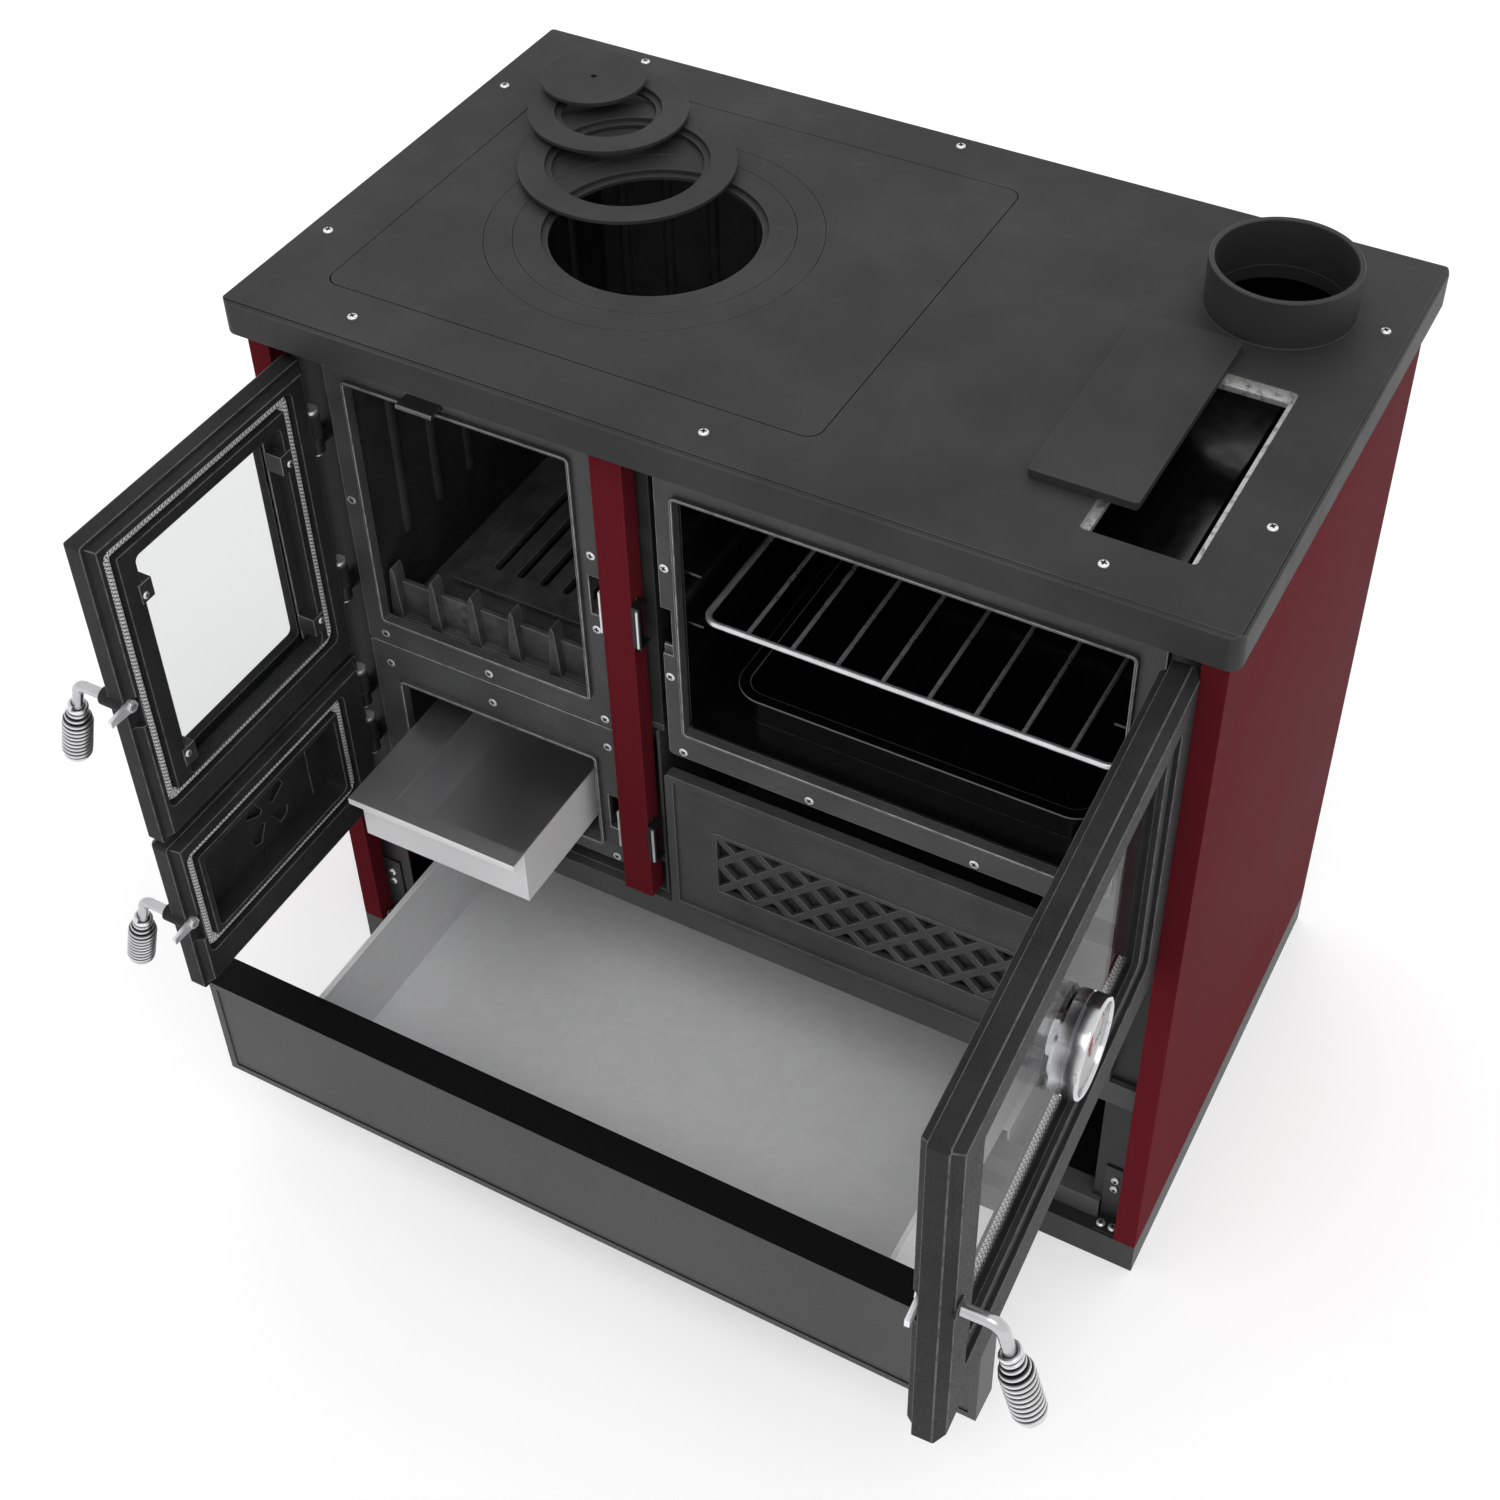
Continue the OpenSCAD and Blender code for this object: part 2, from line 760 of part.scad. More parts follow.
module grate() {
    slot_w = 9;
    ends = [29, 61];
    slot_y = [grate_y[0] + ends[0], grate_y[1] - ends[1]];
    step = 26;
    mid = (grate_x[0] + grate_x[1]) / 2;
    color(iron)
        difference() {
            block(grate_x, grate_y, [hearth_z, hearth_z + grate_t]);
            for (i = [0 : grate_slots - 1])
                translate([0, 0, hearth_z - 1])
                    linear_extrude(grate_t + 2)
                        slot_shape([mid + (i - (grate_slots - 1) / 2) * step, (slot_y[0] + slot_y[1]) / 2],
                            [slot_w, slot_y[1] - slot_y[0]]);
        }
}

// Low wall with pointed ribs that keeps logs off the door
module log_guard() {
    wall_t = 6;
    rib_d = 9;
    wall_h = 44;
    rib_w = 14;
    tip_w = 5;
    x = [fire_in_l + seam, fire_in_r - seam];
    y = frame_back + 17;
    step = (fire_in_r - fire_in_l - 3 * seam - rib_w) / (guard_ribs - 1);
    color(iron)
        union() {
            block(x, [y, y + wall_t], [hearth_z, hearth_z + wall_h]);
            block(x, [y - rib_d, y + eps], [hearth_z, hearth_z + wall_t]);
            for (i = [0 : guard_ribs - 1])
                translate([x[0] + rib_w / 2 + i * step, y + wall_t - eps, hearth_z])
                    rotate([90, 0, 0])
                        linear_extrude(rib_d + wall_t - eps)
                            polygon([[-rib_w / 2, 0], [rib_w / 2, 0], [tip_w / 2, guard_h - tip_w],
                                [0, guard_h], [-tip_w / 2, guard_h - tip_w]]);
        }
}

// Sheet pit under the grate, on walls that stand on the shelf sheet
module ash_chamber() {
    x = [ash_edge[0] + 11, fire_in_r + lining_t - 4];
    y = [frame_back, frame_back + ash_depth];
    z = [shelf_z + sheet_t, hearth_z - grate_t];
    pan_half = pan_w / 2;
    rib = 3;
    rib_x = [pan_x - pan_half + pan_flange + 20, pan_x + pan_half - 20];
    guide = 4;
    guide_h = 12;
    length_y = [y[0] + guide, y[1] - box_t + eps];
    color(zinc)
        union() {
            difference() {
                block(x, y, z);
                block([x[0] + box_t, x[1] - box_t], [y[0] - 1, y[1] - box_t], [ash_floor, z[1] + 1]);
                block([x[0] + box_t, x[1] - box_t], [y[0] - 1, y[1] - box_t], [z[0] - 1, ash_floor - box_t]);
            }
            for (at = rib_x)
                block([at - rib, at + rib], length_y, [ash_floor - eps, pan_z - lay_gap]);
            block([pan_x + pan_half + guide, pan_x + pan_half + guide + sheet_t], length_y,
                [ash_floor - eps, pan_z + guide_h]);
        }
}

// Oven liner with ledges for the rack
module oven_box() {
    ledge_w = 6;
    ledge_t = 3;
    ledge_y = [frame_back + 2, oven_back + eps];
    out = grow(oven_in, box_t);
    color(black)
        union() {
            difference() {
                upright([frame_back, oven_back + box_t])
                    round_rect(out, corner_r);
                upright([frame_back - 1, oven_back])
                    round_rect(oven_in, corner_r - box_t);
            }
            for (z = [rack_z - rack_r - lay_gap, rack_z + rack_step]) {
                block([oven_in[0] - eps, rack_x[0] + ledge_w], ledge_y, [z - ledge_t, z]);
                block([oven_in[1] - 2 * ledge_w, oven_in[1] + eps], ledge_y, [z - ledge_t, z]);
            }
        }
}

// Cooktop

// Plate outline with a chamfer along its upper edge, before any opening
module plate_blank() {
    c = plate_chamfer;
    half = [plate_w / 2, plate_d / 2];
    intersection() {
        translate([0, 0, body_top])
            linear_extrude(plate_skirt)
                round_rect([-half[0], half[0], -half[1], half[1]], plate_corner_r);
        along_x([-half[0] - 1, half[0] + 1])
            polygon([[-half[1], body_top], [half[1], body_top], [half[1], worktop_h - c],
                [half[1] - c, worktop_h], [c - half[1], worktop_h], [-half[1], worktop_h - c]]);
        upright([-half[1] - 1, half[1] + 1])
            polygon([[-half[0], body_top], [half[0], body_top], [half[0], worktop_h - c],
                [half[0] - c, worktop_h], [c - half[0], worktop_h], [-half[0], worktop_h - c]]);
    }
}

// Stepped opening: wide above, drawn in by the ledge below
module stepped_hole(b, depth, r) {
    translate([0, 0, worktop_h - depth])
        linear_extrude(depth + 1)
            round_rect(b, r);
    translate([0, 0, plate_under - 1])
        linear_extrude(plate_t + 2)
            round_rect(grow(b, -ledge), r - ledge / 2);
}

module top_plate() {
    half = [plate_w / 2 - skirt_t, plate_d / 2 - skirt_t];
    color(charcoal)
        difference() {
            plate_blank();
            block([-half[0], half[0]], [-half[1], half[1]], [body_top - 1, plate_under]);
            stepped_hole([hot_l, hot_r, -hotplate_d / 2, hotplate_d / 2], ring_t, hot_corner_r);
            stepped_hole(soot_box, ring_t, frame_corner_r);
            translate([flue_x, flue_back, plate_under - 1])
                cylinder(h = plate_t + 2, d = collar_d - 2 * collar_wall);
        }
}

// Ring with an outer lip above and an inner ledge below; r_in = 0 makes a disc
module lift_ring(r_out, r_in, z) {
    half = ring_t / 2;
    out = r_out - seam / 2;
    low = out - ledge;
    points = r_in > 0
        ? [[r_in - ledge, z], [low, z], [low, z + half], [out, z + half], [out, z + ring_t],
            [r_in, z + ring_t], [r_in, z + half], [r_in - ledge, z + half]]
        : [[0, z], [low, z], [low, z + half], [out, z + half], [out, z + ring_t], [0, z + ring_t]];
    rotate_extrude($fn = round_fn)
        polygon(points);
}

module hotplate() {
    b = grow([hot_l, hot_r, -hotplate_d / 2, hotplate_d / 2], -seam);
    z = worktop_h - ring_t;
    color(charcoal)
        difference() {
            translate([0, 0, z])
                linear_extrude(ring_t)
                    round_rect(b, hot_corner_r);
            translate([ring_x, ring_back, z + ring_t / 2])
                cylinder(h = ring_t, r = seat_r[0], $fn = round_fn);
            translate([ring_x, ring_back, z - 1])
                cylinder(h = ring_t + 2, r = seat_r[0] - ledge, $fn = round_fn);
        }
}

module seated_ring(i) {
    color(charcoal)
        translate([ring_x, ring_back, 0])
            lift_ring(seat_r[i], seat_r[i + 1], worktop_h - ring_t);
}

module outer_ring() { seated_ring(0); }

module middle_ring() { seated_ring(1); }

module laid_ring(at, r_out, r_in, level) {
    color(charcoal)
        translate([at[0], at[1], 0])
            lift_ring(r_out, r_in, worktop_h + level * ring_t + (level + 1) * lay_gap);
}

module big_ring() { laid_ring(big_ring_at, seat_r[2], seat_r[3], 0); }

module small_ring() { laid_ring(small_ring_at, seat_r[3], seat_r[4], 1); }

// Disc with a small lifting hole
module centre_disc() {
    hole_r = 3;
    color(charcoal)
        difference() {
            laid_ring(disc_at, seat_r[4], 0, 2);
            translate([disc_at[0], disc_at[1], worktop_h])
                cylinder(h = 4 * ring_t, r = hole_r);
        }
}

module flue_collar() {
    r = collar_d / 2;
    c = 1;
    color(charcoal)
        translate([flue_x, flue_back, worktop_h])
            rotate_extrude($fn = round_fn)
                polygon([[r - collar_wall, 0], [r + c, 0], [r, c], [r, collar_h - c], [r - c, collar_h],
                    [r - collar_wall + c, collar_h], [r - collar_wall, collar_h - c]]);
}

module soot_lid() {
    z = worktop_h + lay_gap;
    b = grow(soot_box, -seam);
    color(charcoal)
        translate([cover_shift[0], cover_shift[1], z])
            linear_extrude(ring_t)
                round_rect(b, frame_corner_r);
}

// Hinge pins, catches and screws

module hinge_pin(axis_x, top) {
    translate([axis_x, axis_y, top - hinge_h])
        cylinder(h = hinge_h, r = pin_r);
    translate([axis_x, axis_y, top - pin_end])
        cylinder(h = pin_end, r = head_r);
    translate([axis_x, axis_y, top - hinge_h])
        cylinder(h = pin_end - hinge_play, r = pin_r + 1);
}

module hinge_pins() {
    color(iron) {
        for (h = concat(fire_hinges, ash_hinges))
            hinge_pin(axis_l, h);
        for (h = oven_hinges)
            hinge_pin(axis_r, h);
    }
}

// Strike strips on the centre post's left side and catch brackets on its right
module door_catches() {
    strip_t = 2;
    strip_w = 3;
    y = body_f - 1;
    strike_h = 48;
    catch_w = 8;
    color(chrome) {
        for (h = [fire_latch[1], ash_latch[1]])
            block([post_l - strip_t, post_l], [y, y + strip_w], [h - slot_drop - 2, h - slot_drop - 2 + strike_h]);
        for (h = [fire_latch[1], ash_latch[1]])
            difference() {
                block([post_r, post_r + catch_w], [y, frame_y], [h - slot_drop - 6, h - slot_drop - 6 + strike_h]);
                block([post_r + strip_t, post_r + catch_w + 1], [y + strip_w, frame_y + 1],
                    [h - slot_drop - 4, h - slot_drop + strike_h - 8]);
                block([post_r - 1, post_r + strip_t + 1], [y + strip_w + 1, frame_y - 1],
                    [h - slot_drop - 4, h - slot_drop + strike_h - 8]);
            }
    }
}

// Screw head of height h on a face: at = centre of the face under the head
module screw_up(at, h) {
    translate(at) {
        cylinder(h = h / 2, r = screw_r, $fn = small_fn);
        translate([0, 0, h / 2])
            cylinder(h = h / 2, r1 = screw_r, r2 = screw_r - h / 2, $fn = small_fn);
    }
}

module screw_front(x, z, y, h) {
    translate([x, y, z])
        rotate([90, 0, 0])
            screw_up([0, 0, 0], h);
}

// Screws in the top plate, flush screws in the frames behind the doors, screws in the brackets
module body_screws() {
    front_in = 30;
    back_in = 18;
    corner_in = 120;
    row_in = 127;
    side_in = 23;
    plate_x = plate_w / 2 - corner_in;
    side_x = plate_w / 2 - side_in;
    plate_screws = [for (x = [-plate_x, 0, plate_x], y = [front_in - plate_d / 2, plate_d / 2 - back_in]) [x, y]];
    side_screws = [for (x = [-side_x, side_x], y = [row_in - plate_d / 2, plate_d / 2 - corner_in]) [x, y]];
    fire_x = [fire_edge[0] + 7, fire_edge[0] + 20, (fire_lip[0] + fire_lip[1]) / 2, fire_box[1] - 8];
    fire_screws = [[fire_x[0], fire_latch[1] + 12], [fire_x[1], fire_lip[2] - 20], [fire_x[2], fire_lip[2] - 21],
        [fire_x[3], fire_lip[2] - 22], [fire_x[3], fire_latch[1] + 49], [fire_x[3], fire_latch[1] - 38]];
    ash_screws = concat([for (x = [fire_x[1], fire_x[2], fire_x[3]]) [x, ash_lip[3] + 16]],
        [[fire_x[3], ash_lip[2] - 14]]);
    oven_x = oven_edge[0] + 6;
    oven_screws = concat([for (z = [81, -47]) [oven_x, oven_latch[1] + z]],
        [for (x = [9, 138, 299]) [oven_x + x, oven_edge[2] + 7]]);
    bracket_x = inner_r - bracket_w / 2;
    color(chrome) {
        for (p = concat(plate_screws, side_screws))
            screw_up([p[0], p[1], worktop_h], screw_h);
        for (p = concat(fire_screws, ash_screws, oven_screws))
            screw_front(p[0], p[1], frame_y, flush_h);
        for (side = [-1, 1], z = [52, 66])
            screw_front(side * bracket_x, plinth_h + z, frame_back - bracket_t, screw_h);
        for (side = [-1, 1], x = [-6, 6])
            screw_up([side * bracket_x + x, body_f + 10, plinth_h + bracket_t], screw_h);
    }
}

// Doors

// Plan or side outline of a door between a and b, bevelled in front and stepped behind
back_in = [5, 9];
function door_outline(a, b) = [
    [a, door_edge_f], [a + door_bevel, door_front], [b - door_bevel, door_front], [b, door_edge_f],
    [b, door_edge_b], [b - back_in[0], door_edge_b], [b - back_in[1], door_back], [a + back_in[1], door_back],
    [a + back_in[0], door_edge_b], [a, door_edge_b]
];

// Door casting without openings: plan outline met by the side outline
module door_slab(b) {
    intersection() {
        translate([0, 0, b[2]])
            linear_extrude(b[3] - b[2])
                polygon(door_outline(b[0], b[1]));
        along_x([b[0], b[1]])
            polygon([for (p = door_outline(b[2], b[3])) [p[1], p[0]]]);
        upright([door_front - 1, door_back + 1])
            round_rect(b, frame_corner_r);
    }
}

// Room round a hinge's lug and pin, cut from the door's edge
module hinge_room(axis_x, top) {
    translate([axis_x, axis_y, top - hinge_h - 1])
        cylinder(h = hinge_h + 2, r = knuckle_r + hinge_clear);
}

module knuckle(axis_x, side, top) {
    z = top - pin_end - knuckle_h;
    root = 3;
    difference() {
        union() {
            translate([axis_x, axis_y, z])
                cylinder(h = knuckle_h - hinge_play, r = knuckle_r);
            translate([axis_x, axis_y - knuckle_r / 2, z])
                mirror([side > 0 ? 0 : 1, 0, 0])
                    cube([knuckle_r + root, knuckle_r, knuckle_h - hinge_play]);
        }
        translate([axis_x, axis_y, z - 1])
            cylinder(h = knuckle_h + 2, r = pin_r + run_fit);
    }
}

// Groove for the rope gasket, centred on the frame's lip
module gasket_groove(lip) {
    mid = grow(lip, groove_w / 2 - lip_t / 2);
    upright([door_back - groove_d, door_back + 1])
        ring_rect(mid, groove_w, corner_r + 2);
}

module gasket(lip) {
    w = groove_w - 2 * gasket_fit;
    mid = grow(lip, w / 2 - lip_t / 2);
    y = door_back - groove_d + gasket_fit;
    top = lip_y - seal_gap;
    soft = 2;
    color(rope) {
        upright([y, top - soft])
            ring_rect(mid, w, corner_r + 2);
        upright([top - soft - eps, top])
            ring_rect(grow(mid, -soft), w - 2 * soft, corner_r);
    }
}

// Notch behind the door's edge that the pawl turns in, with the rod's bore
module latch_room(at, toward) {
    y = [door_edge_b - eps, door_back + 1];
    room = hub_r + 1.5;
    upright(y) {
        translate(at)
            circle(r = room, $fn = small_fn);
        translate([toward > 0 ? at[0] - room : at[0] - pawl_l, at[1] - pawl_l - 1])
            square([pawl_l + room, pawl_l + 1 + room]);
    }
}

module latch_bore(at) {
    peg(at, rod_r + run_fit, [door_front - 4, door_back + 1]);
}

module latch_boss(at) {
    peg(at, boss_r, [door_front - 2, door_edge_b]);
}

// Door casting with groove, hinges and latch, before its own centre is cut
module door_body(b, lip, axis_x, side, hinges, latch) {
    difference() {
        union() {
            difference() {
                door_slab(b);
                gasket_groove(lip);
                for (h = hinges)
                    hinge_room(axis_x, h);
                latch_room(latch, side);
            }
            for (h = hinges)
                knuckle(axis_x, side, h);
            latch_boss(latch);
        }
        latch_bore(latch);
    }
}

// Window through a door: open in front, wider behind for the glass
module glass_window(b, y) {
    upright([door_front - 1, y + eps])
        round_rect(grow(b, -glass_hold), corner_r);
    upright([y, door_back + 1])
        round_rect(b, corner_r);
}

fire_win = inset_box(fire_box, [fire_border, fire_border, fire_border + 4, fire_border - 4]);
oven_win = inset_box(oven_box_out, [oven_border, oven_border, oven_border + 14, oven_border - 4]);

module fire_door_frame() {
    color(black)
        fire_swing()
            difference() {
                door_body(fire_box, fire_lip, axis_l, 1, fire_hinges, fire_latch);
                glass_window(fire_win, glass_y);
            }
}

module fire_glass() {
    color([0.8, 0.85, 0.87, 0.4])
        fire_swing()
            upright([glass_y + glass_fit, glass_y + glass_fit + glass_t])
                round_rect(grow(fire_win, -glass_fit), corner_r - 1);
}

module fire_gasket() { fire_swing() gasket(fire_lip); }

// Side strips over the glass and the four clips that hold them
module fire_glass_clips() {
    strip_w = 9;
    strip_y = glass_y + glass_fit + glass_t;
    strip = [strip_y, strip_y + sheet_t];
    clip_w = 20;
    clip_z = [fire_win[2] + 26, fire_win[3] - 36];
    over = 6;
    color(black)
        fire_swing()
            for (side = [0, 1]) {
                edge = side == 0 ? fire_win[0] + glass_fit : fire_win[1] - glass_fit;
                in = side == 0 ? 1 : -1;
                x = [min(edge, edge + in * strip_w), max(edge, edge + in * strip_w)];
                clip_x = [min(edge - in * over, edge + in * strip_w), max(edge - in * over, edge + in * strip_w)];
                union() {
                    block(x, strip, [fire_win[2] + corner_r, fire_win[3] - corner_r]);
                    for (z = clip_z) {
                        block(x, [strip_y, door_back + sheet_t], [z - clip_w / 2, z + clip_w / 2]);
                        block(clip_x, [door_back, door_back + sheet_t], [z - clip_w / 2, z + clip_w / 2]);
                    }
                }
            }
}

// Four petal openings round the air disc's axle
module petals(at, r0, r1, turn, y) {
    half_w = 8.5;
    root = 2.5;
    tip = 4;
    for (i = [0 : 3])
        translate([at[0], y[1], at[1]])
            rotate([90, 0, 0])
                rotate(turn + i * 90)
                    linear_extrude(y[1] - y[0])
                        polygon([[r0, -root], [r1 - tip, -half_w], [r1, 0], [r1 - tip, half_w], [r0, root]]);
}

air_at = [(ash_box[0] + ash_box[1]) / 2, ash_door_bottom + 100];
air_r = 40;
air_t = 3;
petal_in = 11;
axle_r = 4;
disc_play = 0.3;
petal_out = air_r - 6;
axle_head = 3;

module ash_door_frame() {
    panel = inset_box(ash_lip, [14, 14, 14, 14]);
    floor_y = door_front + 8;
    crease = 1.5;
    crease_in = 24;
    crease_end = 4;
    color(black)
        ash_swing()
            difference() {
                union() {
                    difference() {
                        door_body(ash_box, ash_lip, axis_l, 1, ash_hinges, ash_latch);
                        upright([floor_y, door_back + 1])
                            round_rect(panel, corner_r);
                        peg(air_at, air_r + 1, [door_front - 1, door_front + air_t + disc_play]);
                        petals(air_at, petal_in, petal_out, 45, [door_front - 1, door_back]);
                    }
                    block([panel[0] + crease_in, panel[0] + crease_in + crease], [floor_y - eps, floor_y + crease],
                        [panel[2] + crease_end, panel[3] - crease_end]);
                    peg(air_at, axle_r, [door_front - axle_head, floor_y]);
                    peg(air_at, axle_r + axle_head, [door_front - axle_head, door_front - disc_play]);
                }
            }
}

module ash_gasket() { ash_swing() gasket(ash_lip); }

// Turning disc with four petals and a finger knob
module air_disc() {
    y = [door_front, door_front + air_t];
    knob_r = 6;
    knob_h = 14;
    turn = 6;
    color(iron)
        ash_swing()
            difference() {
                union() {
                    peg(air_at, air_r, y);
                    peg([air_at[0], air_at[1] - air_r + knob_r + 3], knob_r, [y[0] - knob_h, y[0] + eps]);
                }
                petals(air_at, petal_in, petal_out, turn, [y[0] - 1, y[1] + 1]);
                peg(air_at, axle_r + run_fit, [y[0] - 1, y[1] + 1]);
            }
}

module oven_door_frame() {
    step_w = 16;
    step_d = 4;
    hole = grow(oven_win, -glass_hold);
    color(black)
        oven_swing()
            difference() {
                door_body(oven_box_out, oven_lip, axis_r, -1, oven_hinges, oven_latch);
                glass_window(oven_win, glass_y);
                upright([door_front - 1, door_front + step_d])
                    round_rect(grow(hole, step_w), corner_r);
            }
}

case_at = [(oven_win[0] + oven_win[1]) / 2, (oven_win[2] + oven_win[3]) / 2];
case_r = 40;
case_h = 25;
face_d = 6;
stem_r = 16;

module oven_glass() {
    color([0.8, 0.85, 0.87, 0.4])
        oven_swing()
            difference() {
                upright([glass_y + glass_fit, glass_y + glass_fit + glass_t])
                    round_rect(grow(oven_win, -glass_fit), corner_r - 1);
                peg(case_at, stem_r + glass_fit, [glass_y - 1, glass_y + glass_t + 2]);
            }
}

module oven_gasket() { oven_swing() gasket(oven_lip); }

// Case turned on the dial's axis: thick rim, recessed face, stem through the glass
module thermometer_case() {
    glass_front = glass_y + glass_fit;
    back_c = 3;
    c = 5;
    rim = 7;
    stem_h = glass_t + 6;
    color(chrome)
        oven_swing()
            translate([case_at[0], glass_front, case_at[1]])
                rotate([90, 0, 0])
                    rotate_extrude($fn = round_fn)
                        polygon([[0, -stem_h], [stem_r, -stem_h], [stem_r, 0], [case_r - back_c, 0], [case_r, back_c],
                            [case_r, case_h - c - back_c], [case_r - c, case_h], [case_r - rim, case_h],
                            [case_r - rim - 1, case_h - face_d], [0, case_h - face_d]]);
}

dial_y = glass_y + glass_fit - case_h + face_d;
dial_t = 1;
post_d = 1.5;
hand_t = 1;
hand_lift = 0.3;

module thermometer_dial() {
    color([0.9, 0.9, 0.88])
        oven_swing()
            union() {
                peg(case_at, case_r - 9, [dial_y - dial_t, dial_y]);
                peg(case_at, post_d, [dial_y - 3 * dial_t, dial_y - dial_t + eps]);
            }
}

module thermometer_pointer() {
    hand_l = 24;
    tail_l = 9;
    hub = 3.5;
    back = dial_y - dial_t - hand_lift;
    color([0.75, 0.12, 0.1])
        oven_swing()
            difference() {
                union() {
                    peg(case_at, hub, [back - hand_t, back]);
                    translate([case_at[0], back, case_at[1]])
                        rotate([90, 0, 0])
                            linear_extrude(hand_t)
                                polygon([[-post_d, -tail_l], [post_d, -tail_l], [hand_t / 2, hand_l],
                                    [-hand_t / 2, hand_l]]);
                }
                peg(case_at, post_d + run_fit, [back - 3 * hand_t, dial_y]);
            }
}

// Latches

// Bent rod: pin through the door, round bend, core under the coil
module latch_rod(at) {
    shoulder = pawl_y - pawl_gap / 2 - bend_y;
    tail_end = 2;
    tip = shoulder + pawl_t + tail_end;
    color(chrome) {
        translate([at[0], bend_y, at[1]])
            rotate([-90, 0, 0])
                rotate_extrude($fn = small_fn)
                    polygon([[0, -joint_lap], [rod_r, -joint_lap], [rod_r, shoulder], [tail_r, shoulder],
                        [tail_r, tip], [0, tip]]);
        translate([at[0], bend_y, at[1] - bend_r])
            rotate([0, -90, 180])
                rotate_extrude(angle = bend_turn)
                    translate([bend_r, 0])
                        circle(r = rod_r + bend_swell, $fn = small_fn);
        grip_frame(at)
            translate([0, 0, -joint_lap])
                cylinder(h = core_l + joint_lap, r = rod_r, $fn = small_fn);
    }
}

// Frame at the end of the bend, with Z along the grip
module grip_frame(at) {
    translate([at[0], bend_y - bend_r * sin(bend_turn), at[1] - bend_r + bend_r * cos(bend_turn)])
        rotate([90 + bend_turn, 0, 0])
            children();
}

// Coil of the grip: a helix whose radius swells from the neck and closes in at the tip
rings_per_turn = 8;
wire_sides = 6;
coil_rings = grip_turns * rings_per_turn;
swell_turns = 3;
close_turns = 1.6;
end_swell = 0.05;
taper = 0.04;
look = 0.02;
function smooth(t) = t <= 0 ? 0 : t >= 1 ? 1 : t * t * (3 - 2 * t);
function swell(t) = min(smooth(t / swell_turns + end_swell), smooth((grip_turns - t) / close_turns + end_swell));
function coil_radius(t) = neck_r + (coil_r - neck_r) * swell(t) * (1 - taper * t / grip_turns);
function coil_point(t) = [coil_radius(t) * cos(360 * t), coil_radius(t) * sin(360 * t), grip_pitch * t];
function unit(v) = v / norm(v);
function coil_tangent(t) = unit(coil_point(min(t + look, grip_turns)) - coil_point(max(t - look, 0)));
coil_middle = [for (i = [0 : coil_rings]) coil_point(i / rings_per_turn)];
coil_points = concat(
    [coil_middle[0] - wire_d * coil_tangent(0)],
    coil_middle,
    [coil_middle[coil_rings] + wire_d * coil_tangent(grip_turns)]);
coil_times = concat([0], [for (i = [0 : coil_rings]) i / rings_per_turn], [grip_turns]);
coil_gap = min([for (i = [0 : coil_rings], j = [i + rings_per_turn / 2 : coil_rings])
    norm(coil_middle[i] - coil_middle[j])]) - wire_d;
echo("least gap between the coil's turns, mm", coil_gap);

module coil() {
    n = len(coil_points);
    verts = [for (k = [0 : n - 1])
        let (t = coil_tangent(coil_times[k]),
            a = 360 * coil_times[k],
            side = unit(cross(t, cross([cos(a), sin(a), 0], t))),
            up = cross(t, side))
        for (s = [0 : wire_sides - 1])
            coil_points[k] + wire_d / 2 * (side * cos(s * 360 / wire_sides) + up * sin(s * 360 / wire_sides))];
    walls = [for (k = [0 : n - 2], s = [0 : wire_sides - 1])
        let (a = k * wire_sides + s, b = k * wire_sides + (s + 1) % wire_sides)
        each [[a, a + wire_sides, b], [b, a + wire_sides, b + wire_sides]]];
    caps = [for (s = [1 : wire_sides - 2])
        each [[0, s, s + 1],
            [(n - 1) * wire_sides, (n - 1) * wire_sides + s + 1, (n - 1) * wire_sides + s]]];
    polyhedron(points = verts, faces = concat(walls, caps));
}

module latch_grip(at) {
    color(chrome)
        grip_frame(at)
            translate([0, 0, grip_start])
                coil();
}

// Pawl with an eye on the rod's end; toward = 1 points to +X when the door is shut
module latch_pawl(at, toward) {
    tip = 3.5;
    root = pawl_w / 2 - 0.5;
    color(chrome)
        difference() {
            union() {
                peg(at, hub_r, [pawl_y, pawl_y + pawl_t]);
                translate([at[0], pawl_y + pawl_t, at[1]])
                    rotate([90, 0, 0])
                        linear_extrude(pawl_t)
                            scale_x(toward)
                                polygon([[0, -root], [pawl_l, -tip], [pawl_l, tip], [0, root]]);
            }
            peg(at, tail_r + run_fit, [pawl_y - 1, pawl_y + pawl_t + 1]);
        }
}

module scale_x(s) {
    mirror([s > 0 ? 0 : 1, 0, 0])
        children();
}

module fire_handle() { fire_swing() latch_rod(fire_latch); }

module fire_grip() { fire_swing() latch_grip(fire_latch); }

module fire_pawl() { fire_swing() latch_pawl(fire_latch, 1); }

module ash_handle() { ash_swing() latch_rod(ash_latch); }

module ash_grip() { ash_swing() latch_grip(ash_latch); }

module ash_pawl() { ash_swing() latch_pawl(ash_latch, 1); }

module oven_handle() { oven_swing() latch_rod(oven_latch); }

module oven_grip() { oven_swing() latch_grip(oven_latch); }

module oven_pawl() { oven_swing() latch_pawl(oven_latch, -1); }

// Oven fittings

module wire_x(x, y, r) {
    translate([x[0], y, rack_z])
        rotate([0, 90, 0])
            cylinder(h = x[1] - x[0], r = r, $fn = small_fn);
}

module wire_y(x, y, r) {
    translate([x, y[1], rack_z])
        rotate([90, 0, 0])
            cylinder(h = y[1] - y[0], r = r, $fn = small_fn);
}

module wire_corner(x, y, turn, bend) {
    translate([x, y, rack_z])
        rotate(turn)
            rotate_extrude(angle = 90)
                translate([bend, 0])
                    circle(r = rack_r, $fn = small_fn);
}

